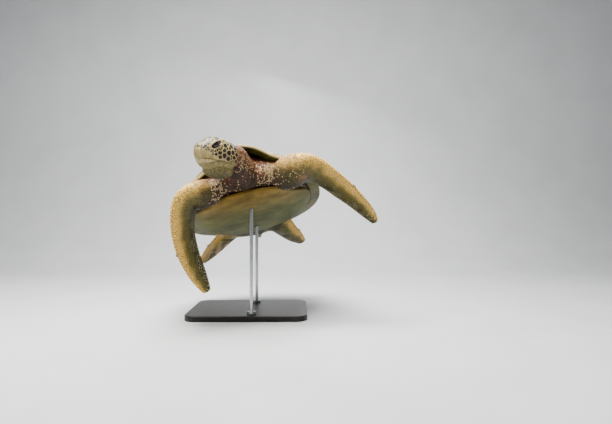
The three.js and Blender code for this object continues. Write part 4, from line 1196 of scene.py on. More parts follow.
@dataclass
class Carapace:
    """The upper shell: five plates along the back, four on each side, and the marginals."""

    ends: tuple = (-400, -238, -98, 52, 196, 318)
    narrow: tuple = (60, 56, 58, 54, 44, 34)
    corners: tuple = (-296, -168, -20, 128, 262)
    wide: tuple = (98, 102, 100, 90, 84)
    last_half: float = 150.0
    costal_ends: tuple = (-190, 0, 178)
    costal_middles: tuple = ((165, -215), (205, -78), (195, 75), (150, 215))
    run_on: float = 0.35
    seam_shares: tuple = (0, 0.085, 0.172, 0.262, 0.355, 0.45, 0.545, 0.64, 0.735, 0.828, 0.916, 1.0)

    def vertebral(self, i: int) -> Array:
        """The corners of one plate along the back."""
        front = -FAR if i == 0 else self.ends[i]
        rear = FAR if i == 4 else self.ends[i + 1]
        rear_half = self.last_half if i == 4 else self.narrow[i + 1]
        rows = [(self.narrow[i], front), (self.wide[i], self.corners[i]), (rear_half, rear)]
        half = np.array(rows, float)
        return np.vstack([half, (half * [-1, 1])[::-1]])

    def costal(self, i: int, side: int) -> Array:
        """The corners of one broad side plate, running out past the marginals' line."""
        inner = []
        for k in (i, i + 1):
            inner += [(self.wide[k], self.corners[k]), (self.narrow[k + 1], self.ends[k + 1])]

        def outer(k: int) -> tuple:
            """The far end of the seam behind plate k."""
            slant = self.costal_ends[k] - self.corners[k + 1]
            return HALF_LENGTH, self.costal_ends[k] + slant * self.run_on

        front = [(HALF_LENGTH, -FAR), (self.narrow[0] + 6, -FAR)] if i == 0 else [outer(i - 1)]
        rear = [(self.last_half, FAR), (HALF_LENGTH, FAR)] if i == 3 else [outer(i)]
        return np.array(front + inner[:3] + rear, float) * [side, 1]

    def build(self) -> list[tuple[str, Shape]]:
        """Every plate of the upper shell with its name."""
        maker = PlateMaker(SHELL.dome)
        bound = SHELL.loop(SHELL.rim_at, MARGINAL_WIDTH)
        out = []
        for i in range(5):
            middle = (0.0, max(self.ends[i], -345) * 0.42 + min(self.ends[i + 1], 330) * 0.58)
            shape = maker.plate(self.vertebral(i), bound, middle, 0.13 + 0.19 * i)
            out.append((f"vertebral_{i + 1}", shape))
        for name, side in SIDES:
            for i, (x, y) in enumerate(self.costal_middles):
                tone = 0.21 + 0.17 * i + 0.05 * side
                shape = maker.plate(self.costal(i, side), bound, (x * side, y), tone)
                out.append((f"costal_{name}_{i + 1}", shape))
        return out + self.marginals()

    def marginals(self) -> list[tuple[str, Shape]]:
        """The plates round the rim, each swept between its two slanting seams."""
        start, end = np.radians([14.5, 8.6]), np.radians([173.0, 174.9])
        inner, rim = (start + (end - start) * np.array(self.seam_shares)[:, None]).T
        out = []
        for name, side in SIDES:
            spans = [(slice(i, i + 2), 0.1 + i * 0.083) for i in range(len(rim) - 1)]
            parts = [self.section(inner[span], rim[span], side, tone) for span, tone in spans]
            out.append((f"marginals_{name}", joined(parts)))
        nuchal = self.section(start[0] * np.array([-1, 1]), start[1] * np.array([-1, 1]), 1, 0.4)
        half = [np.array([bearing, math.pi]) for bearing in end]
        tail = joined([self.section(*half, side, 0.6 + 0.1 * side) for _, side in SIDES])
        return out + [("nuchal_scute", nuchal), ("supracaudal_scutes", tail)]

    def section(self, inner: Array, rim: Array, side: int, tone: float) -> Shape:
        """One marginal plate: a rounded profile swept from one seam to the next.

        The profile runs over the top from the costals' line to the rim, round the rim, back
        underneath to the flesh, and up inside to where it began.

        Args:
            inner: The bearings of its two seams at the costals' line.
            rim: Their bearings at the rim.
            side: 1 for the left and -1 for the right.
            tone: A number for its colour.
        """
        span = (rim[1] - rim[0]) * 300
        ends = np.array([0.25, 0.7, 1.3, 2.2, 3.4, 5.0]) / span
        along = np.concatenate([ends, np.linspace(0.07, 0.93, 15), 1 - ends[::-1]])
        inward = [*(MARGINAL_WIDTH - np.array([0.3, 0.8, 1.6, 2.8, 5, 9])), *np.linspace(45, 7, 9), 4, 2]
        curl = np.linspace(0, math.pi, 9)
        back = [*np.linspace(5, 46, 5), 47.6, 47.6, 57.7, 57.7]
        count = len(inward)
        below = count + len(curl)
        profile = np.concatenate([inward, 1.2 * (1 - np.sin(curl)) + 0.1, back])
        t, w = np.meshgrid(along, np.arange(len(profile)), indexing="ij")
        depth_in = np.tile(profile, (len(along), 1))
        share = depth_in / MARGINAL_WIDTH
        at_rim, at_line = (seams[0] + (seams[1] - seams[0]) * t for seams in (rim, inner))
        bearing = at_rim * (1 - share) + at_line * share
        reach, low = SHELL.rim_at(bearing * side)
        distance = reach - depth_in
        distance = np.where(w >= below + 5, reach - SHELL.overhang(bearing) + 0.4, distance)
        distance = np.where(w >= below + 7, reach - MARGINAL_WIDTH + 0.3, distance)
        flat = SHELL.place_of(bearing * side, distance, 0.0)
        dome = SHELL.dome(flat[..., 0], flat[..., 1])
        under = low - RIM_THICKNESS - RIM_SLOPE * (reach - distance)
        lift = np.concatenate([np.ones(count), np.cos(curl), np.ones(len(back))])
        edge = low - RIM_THICKNESS / 2 + RIM_THICKNESS / 2 * lift
        z = np.where(w < count, dome, np.where(w < below, edge, under))
        z = np.where((w == below + 6) | (w == below + 7), dome - (PLATE_THICKNESS - 0.6), z)
        z = np.where(w == below + 8, dome - 1.2, z)
        from_end = np.minimum(t, 1 - t) * span
        seam = np.minimum(from_end, MARGINAL_WIDTH - depth_in)
        z = z + (w < count) * (0.9 * smooth_step(seam, 0, 22) - 0.5 - 1.8 * rounded(seam, 2.6))
        outline = (w >= count - 3) & (w < below + 2)
        distance = distance + outline * (0.9 * smooth_step(from_end, 0, 9) - 0.9)
        z = z + ((w >= below) & (w < below + 6)) * np.clip((2.6 - from_end) / 2.6, 0, 1) ** 2 * 0.8
        shape = skinned(SHELL.place_of(bearing * side, distance, z))
        ring = np.append(depth_in, [30, 30])
        turn = np.append((t - 0.5) * span / 40, [0, 0]) * 1.4
        near = np.append(np.minimum(from_end, 90), [0, 0])
        shape.marks["spoke"] = np.column_stack([turn, np.zeros(len(ring)), ring * 0.004 + tone * 7.3])
        shape.marks["seam"] = np.clip(np.minimum(near, ring + 6) / 30.0, 0, 1)
        shape.marks["under"] = np.append(smooth_step(w, below - 8.0, below - 2.0), [1, 1])
        return shape


@dataclass
class Plastron:
    """The under shell: six pairs of plates and a row on each bridge."""

    seams: tuple = (-FAR, -285, -195, -88, 35, 170, FAR)
    slant: tuple = (0, 62, 24, 0, 6, 40, 0)
    names: tuple = ("gular", "humeral", "pectoral", "abdominal", "femoral", "anal")
    bridge: float = 176.0
    bridge_seams: tuple = (-FAR, -128, -34, 62, FAR)

    def build(self) -> list[tuple[str, Shape]]:
        """Every plate of the under shell with its name."""
        maker = PlateMaker(SHELL.belly, outward=-1, growth=0.05, swell=0.4, roll=0.8, gap=0.05)
        bound = SHELL.loop(SHELL.edge_at, 0.0)
        out = []
        for name, side in SIDES:
            for i, title in enumerate(self.names):
                (front, rear), (ahead, behind) = self.seams[i : i + 2], self.slant[i : i + 2]
                outer = [(self.bridge, rear + behind), (self.bridge, front + ahead)]
                along = (max(front, -330) + min(rear, 312)) / 2 + (ahead + behind) * 0.28
                middle = (45.0 * side if i in (0, 5) else 80.0 * side, along)
                outline = np.array([(0, front), (0, rear), *outer], float) * [side, 1]
                tone = 0.1 + 0.14 * i + 0.03 * side
                out.append((f"{title}_{name}", maker.plate(outline, bound, middle, tone)))
            parts = []
            for i in range(4):
                front, rear = self.bridge_seams[i : i + 2]
                corners = [(self.bridge, front), (FAR, front), (FAR, rear), (self.bridge, rear)]
                outline = np.array(corners, float) * [side, 1]
                middle = (206.0 * side, (max(front, -205) + min(rear, 185)) / 2)
                parts.append(maker.plate(outline, bound, middle, 0.3 + 0.15 * i))
            out.append((f"bridge_{name}", joined(parts)))
        return out


# ------------------------------------------------------------------ beak and claws


@dataclass(frozen=True)
class BeakForm:
    """One half of the beak: a horny band round the snout between two lines seen from the side."""

    top: tuple
    foot: tuple
    reach: float
    proud: float
    thickness: float = 6.0

    def shape(self) -> Shape:
        """The band as a closed shape, its edges rolled in."""
        turn = np.sin(np.linspace(-1, 1, 151) * math.pi / 2 * 0.97) * math.radians(self.reach)
        down = np.array([0.0, 0.012, 0.035, 0.07, *np.linspace(0.12, 0.88, 17), 0.93, 0.965, 0.988, 1.0])
        way = np.stack([np.sin(turn), -np.cos(turn), np.zeros(turn.shape)], axis=-1)[:, None, :]
        ways = np.broadcast_to(way, (len(turn), len(down), 3))
        y = np.full((len(turn), len(down)), -40.0)
        for _ in range(7):  # each cast gives the places that the next one takes its heights at
            high = np.interp(y, *zip(*self.top))
            low = np.interp(y, *zip(*self.foot))
            z = high + (np.minimum(low, high - 0.4) - high) * down[None, :]
            points = HEAD.cast(np.stack(np.broadcast_arrays(0.0, -12.0, z), axis=-1), ways)
            y = points[..., 1]
        edge = np.minimum(down, 1 - down)
        roll = 1.5 * (1 - smooth_step(edge, 0.0, 0.05))[None, :]
        grain = 0.12 * np.sin(turn * 74 + 2 * np.sin(turn * 11))[:, None]
        outer = points + ways * (self.proud - roll + grain * (edge > 0.02))[..., None]
        inner = points - ways * self.thickness
        shape = skinned(HEAD.drawn(np.concatenate([outer, inner[:, ::-1]], axis=1)))
        shape.marks["down"] = np.append(np.tile(np.append(down, down[::-1]), len(turn)), [0.5, 0.5])
        return shape


UPPER_BEAK = BeakForm(
    top=((-900, -3), (-50, -4), (-40, -10), (-22, -25), (4, -36), (12, -46)),
    foot=((-900, -39.6), (-56, -42.6), (-48, -41.4), (-30, -42), (14, -46)),
    reach=114,
    proud=0.5,
)
LOWER_BEAK = BeakForm(
    top=((-900, -40.2), (-50, -42.4), (-30, -43), (-8, -45)),
    foot=((-900, -64), (-36, -62), (-16, -55), (-8, -45.2)),
    reach=93,
    proud=0.1,
)


def claw(limb: Limb) -> Shape:
    """A claw on a limb's leading edge: a cone that curves toward the limb's tip."""
    centre, tangent, lead, up, sizes = (v[0] for v in limb.frame(np.array([0.68])))
    root = centre + lead * (sizes[0] / 2 - 1.5)
    way = unit(0.62 * lead + tangent)
    side = unit(np.cross(way, up))
    share = np.linspace(0, 1, 16)
    radius = 5.6 * (1 - np.clip((share - 0.3) / 0.7, 0, 1)) ** 0.65 + 0.15
    line = root + way * (-6 + 17 * share)[:, None] + tangent * (1.6 * share**2)[:, None]
    across = ways_of(turns_of(28)) @ np.array([up * 0.85, side])
    return skinned(line[:, None, :] + radius[:, None, None] * across[None], end=line[-1] + way * 0.2)


# ------------------------------------------------------------------ scales


@dataclass(frozen=True)
class Chart:
    """A surface unrolled: millimetres along and a share of the girth round from angle 0."""

    loft: Loft
    shares: Array
    lengths: Array
    girths: Array
    angles: Array

    @classmethod
    def of(cls, loft: Loft, start: float, end: float) -> "Chart":
        """Measures a loft between two shares of its length."""
        shares = np.linspace(start, end, 90)
        turn = np.linspace(0, FULL_TURN, 181)
        grid = loft.place(shares[:, None], turn[None, :])
        round_steps = np.linalg.norm(np.diff(grid, axis=1), axis=-1)
        run = np.concatenate([np.zeros((90, 1)), np.cumsum(round_steps, axis=1)], axis=1)
        even = np.linspace(0, 1, 181)
        angles = np.array([np.interp(even, row / max(row[-1], 1e-6), turn) for row in run])
        along = np.linalg.norm(np.diff(grid, axis=0), axis=-1).mean(axis=1)
        return cls(loft, shares, np.concatenate([[0.0], np.cumsum(along)]), run[:, -1], angles)

    def girth(self, along: Array) -> Array:
        """The girth at places along."""
        return np.interp(along, self.lengths, self.girths)

    def place(self, along: Array, turn: Array) -> Array:
        """The points at places along and shares of the girth round."""
        i = np.clip(np.interp(along, self.lengths, np.arange(90.0)), 0, 88.999)
        k = (turn % 1.0) * 180.0
        low, left = i.astype(int), np.minimum(k.astype(int), 179)
        a, b = i - low, k - left
        lower = self.angles[low, left] * (1 - b) + self.angles[low, left + 1] * b
        upper = self.angles[low + 1, left] * (1 - b) + self.angles[low + 1, left + 1] * b
        shares = np.interp(along, self.lengths, self.shares)
        return self.loft.place(shares, lower * (1 - a) + upper * a)


def drape(points: Array, skin: Thing) -> tuple[Array, Array]:
    """The nearest places on the skin and the way the skin faces there.

    Args:
        points: Places in the shared frame, in millimetres.
        skin: The skin's object.
    """
    found = []
    for mode, offset in (("ON_SURFACE", 0.0), ("ABOVE_SURFACE", 0.002)):
        mesh = bpy.data.meshes.new("drape")
        mesh.vertices.add(len(points))
        mesh.vertices.foreach_set("co", (points * 0.001).astype(np.float32).ravel())
        obj = bpy.data.objects.new("drape", mesh)
        bpy.context.scene.collection.objects.link(obj)
        wrap = obj.modifiers.new("wrap", "SHRINKWRAP")
        wrap.target, wrap.wrap_method, wrap.wrap_mode = skin, "NEAREST_SURFACEPOINT", mode
        wrap.offset = offset
        graph = bpy.context.evaluated_depsgraph_get()
        result = bpy.data.meshes.new_from_object(obj.evaluated_get(graph))
        found.append(point_rows(result))
        bpy.data.objects.remove(obj)
        bpy.data.meshes.remove(mesh)
        bpy.data.meshes.remove(result)
    return found[0], unit(found[1] - found[0])


def cell_reach(offsets: Array, own: Array, other: Array, angles: Array, cap: float) -> Array:
    """How far each cell runs at each angle before it is nearer, by power, to a neighbour.

    Toward a neighbour at d with radius w', a cell of radius w ends where r = (d^2 + w^2 - w'^2)
    / (2 d . e) along e.

    Args:
        offsets: Cells by neighbours by two, in millimetres.
        own: Each cell's radius.
        other: Its neighbours' radii.
        angles: The directions.
        cap: The most it may run, over its own radius.
    """
    toward = np.einsum("nmk,ak->nma", offsets, ways_of(angles))
    power = (offsets**2).sum(-1) + own[:, None] ** 2 - other**2
    far = np.maximum(power, 0.2)[..., None] / (2 * np.maximum(toward, 1e-3))
    reach = np.where(toward > 1e-3, far, np.inf).min(axis=1)
    return np.clip(reach, 0.15 * own[:, None], cap * own[:, None])


def neighbours(points: Array, count: int) -> tuple[Array, Array]:
    """Each point's nearest others and how far off they are."""
    near = np.empty((len(points), count), int)
    gap = np.empty((len(points), count))
    for start in range(0, len(points), 1500):
        rows = np.arange(start, min(start + 1500, len(points)))
        away = lengths_between(points[rows], points)
        away[np.arange(len(rows)), rows] = np.inf
        near[rows] = np.argpartition(away, count, axis=1)[:, :count]
        gap[rows] = np.sqrt(np.maximum(np.take_along_axis(away, near[rows], axis=1), 0))
    return near, gap


@dataclass
class ScaleStyle:
    """How a kind of scale is built up: rings as a share of its reach and a height."""

    around: int = 10
    rings: tuple = ((1.0, -0.5), (0.93, 0.5), (0.6, 0.85))
    crown: float = 0.95
    gap: float = 0.5
    border: float = 0.35
    mottle: float = 0.12
    cap: float = 1.5
    fade: float = 0.55

    @property
    def shares(self) -> Array:
        """The rings' shares of the reach."""
        return np.array([share for share, _ in self.rings])

    @property
    def heights(self) -> Array:
        """The rings' heights."""
        return np.array([height for _, height in self.rings])


LIMB_STYLE = ScaleStyle(rings=((1.0, -0.4), (0.94, 0.34), (0.6, 0.54)), crown=0.6, gap=0.42)
HEAD_RINGS = ((1.0, -0.6), (0.975, 0.45), (0.91, 0.95), (0.75, 1.2), (0.4, 1.35))
HEAD_LARGE = ScaleStyle(around=28, rings=HEAD_RINGS, crown=1.4, gap=0.75, border=0.85, cap=1.6, fade=0.74)
HEAD_SMALL = ScaleStyle(around=12, gap=0.55, border=0.6)
GRANULE = ScaleStyle(around=8, rings=((1.0, -0.35), (0.8, 0.5)), crown=0.7, gap=0.5, border=0.3, cap=1.25)


@dataclass
class ScaleField:
    """Scales on one chart: their places, radii, and which of them stay where they are put."""

    chart: Chart
    along: Array
    turn: Array
    radius: Array
    fixed: Array

    def reach(self, angles: Array, cap: float) -> Array:
        """How far each scale runs at each angle, by its nearest neighbours."""
        girth = self.chart.girth(self.along)
        du = self.along[None, :] - self.along[:, None]
        dv = ((self.turn[None, :] - self.turn[:, None] + 0.5) % 1.0 - 0.5) * girth[:, None]
        power = du**2 + dv**2 - self.radius[None, :] ** 2
        np.fill_diagonal(power, np.inf)
        count = min(18, len(self.along) - 1)
        near = np.argpartition(power, count, axis=1)[:, :count]
        rows = np.arange(len(self.along))[:, None]
        offsets = np.stack([du[rows, near], dv[rows, near]], axis=-1)
        return cell_reach(offsets, self.radius, self.radius[near], angles, cap)

    def settle(self, times: int) -> None:
        """Moves the loose scales toward the middles of their cells."""
        angles = turns_of(16)
        for _ in range(times):
            reach = self.reach(angles, 1.6)
            shift = 2 / 3 * (reach**3) @ ways_of(angles) / (reach**2).sum(1)[:, None]
            shift[self.fixed] = 0.0
            self.along = self.along + shift[:, 0] * 0.8
            self.turn = self.turn + shift[:, 1] * 0.8 / self.chart.girth(self.along)

    def places(self, chosen: Array, style: ScaleStyle) -> Array:
        """The places of the rings of the chosen scales, and their middles last."""
        angles = turns_of(style.around)
        reach = self.reach(angles, style.cap)[chosen] - style.gap
        along, turn = self.along[chosen, None, None], self.turn[chosen, None, None]
        ring = style.shares[None, :, None]
        u = along + ring * (reach * np.cos(angles))[:, None, :]
        v = turn + ring * (reach * np.sin(angles))[:, None, :] / self.chart.girth(along)
        rim = self.chart.place(u, v).reshape(len(along), -1, 3)
        root = self.chart.place(along[:, 0], turn[:, 0])
        return np.concatenate([rim, root.reshape(-1, 1, 3)], axis=1)


@dataclass
class ScaleBuilder:
    """Lays scales over the skin as closed, low, bevelled shapes."""

    skin: Thing
    rng: np.random.Generator = field(default_factory=lambda: np.random.default_rng(SEED))

    def piece(self, name: str, places: Array, patch: Array, style: ScaleStyle, tint: Array) -> Thing:
        """Builds the scales from the places of their rings.

        Args:
            name: The piece's name.
            places: Scales by rings by around, and the root last: points near the skin.
            patch: Each scale's place on the unrolled skin, from 0 to 1.
            style: How they are built up.
            tint: The colours of the scales and of the skin between them.
        """
        count, rings, around = len(places), len(style.rings), style.around
        on_skin, facing = (rows.reshape(count, -1, 3) for rows in drape(places.reshape(-1, 3), self.skin))
        size = 0.85 + 0.3 * self.rng.random(count)[:, None, None]
        body = on_skin[:, :-1] + facing[:, :-1] * (np.repeat(style.heights, around)[None, :, None] * size)
        crown = on_skin[:, -1:] + facing[:, -1:] * style.crown * size
        base = on_skin[:, -1:] + facing[:, -1:] * (style.heights[0] - 0.3)
        points = np.concatenate([body, base, crown], axis=1)
        per = points.shape[1]
        quads, fans = ring_faces(rings, around)
        starts = (np.arange(count) * per)[:, None, None]
        quads, fans = (quads[None] + starts).reshape(-1, 4), (fans[None] + starts).reshape(-1, 3)
        reach = np.repeat(style.shares, around)
        spot = np.tile(ways_of(turns_of(around)), (rings, 1)) * reach[:, None] * 0.0015
        spot = np.vstack([spot, np.zeros((2, 2))])
        tone = 1 + style.mottle * (self.rng.random((count, 1, 1)) * 2 - 1)
        edge = np.append(smooth_step(reach, style.fade, 1.0) * style.border, [style.border, 0.0])
        scale, gap = tint[:, :, None, :]
        paint = mixed(scale * tone, gap, np.broadcast_to(edge, (count, per)))
        marks = {"OFBake": (patch[:, None, :] + spot[None]).reshape(-1, 2), "tint": paint.reshape(-1, 3)}
        return mesh_object(name, Shape(points.reshape(-1, 3), quads, fans, marks), FLOOR, 60)


@dataclass
class LimbScales:
    """A flipper's scales: rows of long ones on its two edges and smaller ones between."""

    limb: Limb
    spacing: float = 10.5
    edge_step: float = 13.0
    start: float = 0.27

    def field(self, rng: np.random.Generator) -> ScaleField:
        """Places the scales on the limb's chart."""
        chart = Chart.of(self.limb, 0.1, 1.0 + self.limb.cap * 0.93)
        total = chart.lengths[-1]
        begin = float(np.interp(self.start, chart.shares, chart.lengths))
        rows, fixed, radius = [], [], []
        for turn, size in ((0.0, 8.4), (0.5, 7.6)):
            u = np.arange(begin, total - 4, self.edge_step)
            rows.append(np.column_stack([u, np.full(len(u), turn)]))
            fixed.append(np.ones(len(u), bool))
            radius.append(size * np.interp(u / total, [0, 0.75, 1], [0.85, 1.0, 0.7]))
        for k, u in enumerate(np.arange(begin, total - 3, self.spacing * 0.87)):
            girth = float(chart.girth(u))
            across = girth / 2 - 18
            count = max(int(across / self.spacing), 0)
            for start in (9, girth / 2 + 9):
                v = start + (np.arange(count) + 0.5 + 0.25 * (-1) ** k) * across / max(count, 1)
                place = np.column_stack([np.full(count, u), v / girth])
                rows.append(place + rng.normal(0, 0.12, place.shape) * [self.spacing, self.spacing / girth])
                fixed.append(np.zeros(count, bool))
                radius.append(np.full(count, self.spacing * 0.5))
        along, turn = np.vstack(rows).T
        sizes = np.concatenate(radius) * (1 + 0.12 * rng.standard_normal(len(along)))
        scales = ScaleField(chart, along, turn, sizes, np.concatenate(fixed))
        scales.settle(5)
        return scales


@dataclass
class HeadScales:
    """The head's scales: named plates on the crown and cheeks, with small ones between."""

    # Places behind the eyes and out from the middle line along the skin, with a radius: the
    # prefrontals, frontal, those over the eyes, frontoparietal and parietals.
    crown: tuple = (
        *((-36, 10, 15.5), (-11, 10.5, 13), (9, 0, 10.5), (9, 28, 15), (40, 0, 21), (46, 33, 13)),
        *((74, 15, 14.5), (72, 42, 12.5), (-30, 32, 9.5)),
    )
    # Places behind the eyes and above the middle plane on the sides, with a radius.
    sides: tuple = (
        *((33, 15, 10.5), (48, -13, 12.5), (27, -5, 8.5), (28, -26, 10.5), (46, -37, 11), (8, -17, 9)),
        *((10, -33, 8.5), (67, -11, 10.5), (74, -30, 9.5), (62, 16, 10), (84, 8, 9), (64, -50, 9)),
        *((88, -16, 8.5), (86, -44, 8.5), (-22, -10, 9.5), (-38, 8, 8), (-8, -24, 7.5), (22, -60, 12)),
        *((46, -62, 9.5), (0, -60, 10)),
    )
    step: float = 10.4

    def named(self, chart: Chart) -> Array:
        """The chosen scales, with the rows along the lips and round the eyes, on both sides."""
        samples = np.linspace(0, chart.lengths[-1], 300)
        crown_y = HEAD.drawn(chart.place(samples, np.full(300, 0.25)), -1)[:, 1]
        turns = np.linspace(0, 0.5, 181)

        def round_to(along: float, level: float) -> float:
            """How far round the left side lies at a height."""
            return float(np.interp(-level, -chart.place(np.full(181, along), turns)[:, 2], turns))

        crown = np.array(self.crown, float)
        u = np.interp(crown[:, 0], crown_y, samples)
        crown = np.column_stack([u, crown[:, 1] / chart.girth(u), crown[:, 2]])
        line = np.arange(14.0, 40.0, 4.0)
        lips = np.column_stack([line, np.interp(line, *MOUTH), np.full(len(line), 2.6)])
        centre, out, ahead, up = EyeForm().axes()
        lids = centre + 14 * out + ways_of(turns_of(20)) @ np.array([20 * ahead, 12.5 * up])
        lids = np.column_stack([HEAD.drawn(lids, -1)[:, 1], lids[:, 2], np.full(20, 3.0)])
        sides = np.vstack([np.array(self.sides, float), lips, lids])
        u = np.interp(sides[:, 0], crown_y, samples)
        left = np.column_stack([u, [round_to(*row) for row in zip(u, sides[:, 1])], sides[:, 2]])
        return np.vstack([crown, crown[crown[:, 1] > 0] * [1, -1, 1], left, left * [1, -1, 1]])

    def field(self, rng: np.random.Generator) -> tuple[ScaleField, Array]:
        """Places the scales on the head's chart, and tells which of them are laid."""
        chart = Chart.of(HEAD, 0.0, 1.0)
        named = self.named(chart)
        fill = []
        for k, along in enumerate(np.arange(3, chart.lengths[-1] - 2, self.step * 0.87)):
            count = int(chart.girth(along) / self.step)
            turn = (np.arange(count) + 0.5 * (k % 2) + rng.normal(0, 0.1, count)) / count
            fill.append(np.column_stack([np.full(count, along), turn, np.full(count, self.step * 0.5)]))
        fill = np.vstack(fill)
        gap_u = fill[:, None, 0] - named[None, :, 0]
        gap_v = ((fill[:, None, 1] - named[None, :, 1] + 0.5) % 1 - 0.5) * chart.girth(fill[:, 0])[:, None]
        fill = fill[(np.hypot(gap_u, gap_v) > named[None, :, 2] + 2.2).all(axis=1)]
        along, turn, radius = np.vstack([named, fill]).T
        fixed = (np.arange(len(along)) < len(named)) | self.bare(chart.place(along, turn), -3.0)
        scales = ScaleField(chart, along, turn, radius, fixed)
        scales.settle(4)
        return scales, ~self.bare(chart.place(scales.along, scales.turn), 1.0)

    @staticmethod
    def bare(points: Array, margin: float) -> Array:
        """Whether places lie on the beak, the eyes or the nostrils, or within a margin of them."""
        _, y, z = HEAD.drawn(points, -1).T
        top = np.interp(y, *zip(*UPPER_BEAK.top)) + margin
        foot = np.interp(y, *zip(*LOWER_BEAK.foot)) - margin
        upper = (z < top) & (z > np.interp(y, *zip(*UPPER_BEAK.foot)) - 1) & (y < 8 + margin)
        lower = (z > foot) & (z < -40) & (y < -8 + margin)
        eye = EyeForm().spread(folded(points), 22.0 + margin, 14.5 + margin) < 1
        nostril = np.hypot(np.abs(points[:, 0]) - NOSTRIL[0], z - NOSTRIL[2]) < 3.6 + margin
        mouth = (np.abs(z - np.interp(y, *MOUTH)) < 1.2 + margin) & (y > 0) & (y < 40)
        return upper | lower | mouth | eye | (nostril & (y < -52))


@dataclass
class Granules:
    """Small scales scattered over the rest of the skin, a few millimetres across."""

    spacing: float
    low_y: float
    high_y: float
    root: tuple  # where their unrolled patch has its middle
    divide: float = -345.0
    crowding: float = 0.74  # the least distance between two, over the spacing

    def seeds(self, skin: Thing, taken: Array, rng: np.random.Generator) -> Array:
        """Places spread over the bare skin, in the shared frame.

        Args:
            skin: The skin's object.
            taken: Rows of x, y, z and a radius that other scales cover.
            rng: The source of scatter.
        """
        mesh = skin.data
        mesh.calc_loop_triangles()
        corners = np.empty(len(mesh.loop_triangles) * 3, np.int32)
        mesh.loop_triangles.foreach_get("vertices", corners)
        points = point_rows(mesh)[corners].reshape(-1, 3, 3)
        local = carried(points.mean(axis=1), TO_BODY)
        at_head = HEAD.drawn(carried(local, BODY_TO_HEAD), -1)
        head = (at_head[:, 1] < 92) & (HEAD.outside(at_head) < 1.15)
        near = (local[:, 1] > self.low_y) & (local[:, 1] < self.high_y)
        points = points[near & ~self.covered(local) & ~head]
        corner, side_a, side_b = points[:, 0], points[:, 1] - points[:, 0], points[:, 2] - points[:, 0]
        area = np.linalg.norm(np.cross(side_a, side_b), axis=1) / 2
        wanted = int(area.sum() / (0.87 * self.spacing**2) * 1.02)
        chosen = rng.choice(len(points), wanted * 3, p=area / area.sum())
        a, b = rng.random((2, len(chosen), 1))
        flip = a + b > 1
        a, b = np.where(flip, 1 - a, a), np.where(flip, 1 - b, b)
        spots = corner[chosen] + a * side_a[chosen] + b * side_b[chosen]
        keep = np.ones(len(spots), bool)
        for start in range(0, len(spots), 2000):
            rows = slice(start, start + 2000)
            away = np.linalg.norm(spots[rows, None] - taken[None, :, :3], axis=-1)
            keep[rows] = (away > taken[None, :, 3] + 0.15 * self.spacing).all(axis=1)
        spots = self.thinned(spots[keep])
        for _ in range(5):
            spots = drape(self.spread(spots), skin)[0]
        return spots

    def thinned(self, spots: Array) -> Array:
        """Drops spots that crowd an earlier one, a batch at a time."""
        least = self.crowding * self.spacing
        kept = np.zeros((0, 3))
        for start in range(0, len(spots), 400):
            batch = spots[start : start + 400]
            batch = batch[(lengths_between(batch, kept) > least**2).all(axis=1)]
            near = np.linalg.norm(batch[:, None] - batch[None], axis=-1) < least
            kept = np.vstack([kept, batch[~np.tril(near, -1).any(axis=1)]])
        return kept

    def spread(self, spots: Array) -> Array:
        """Pushes spots apart where they crowd each other."""
        near, gap = neighbours(spots, 8)
        push = np.maximum(1.05 * self.spacing - gap, 0) * 0.3
        away = unit(spots[:, None] - spots[near])
        return spots + (away * push[..., None]).sum(axis=1)

    @staticmethod
    def covered(local: Array) -> Array:
        """Whether places in the body's frame lie under a plate of the shell."""
        x, y, z = local.T
        bearing, distance = SHELL.bearing_of(x, y)
        inside = distance < SHELL.rim_at(bearing)[0] - SHELL.overhang(bearing) + 2
        roof = inside & (z > SHELL.dome(x, y) - 15)
        floor = (distance < SHELL.edge_at(bearing)[0] - 0.3) & (z < SHELL.belly(x, y) + 15)
        return roof | floor


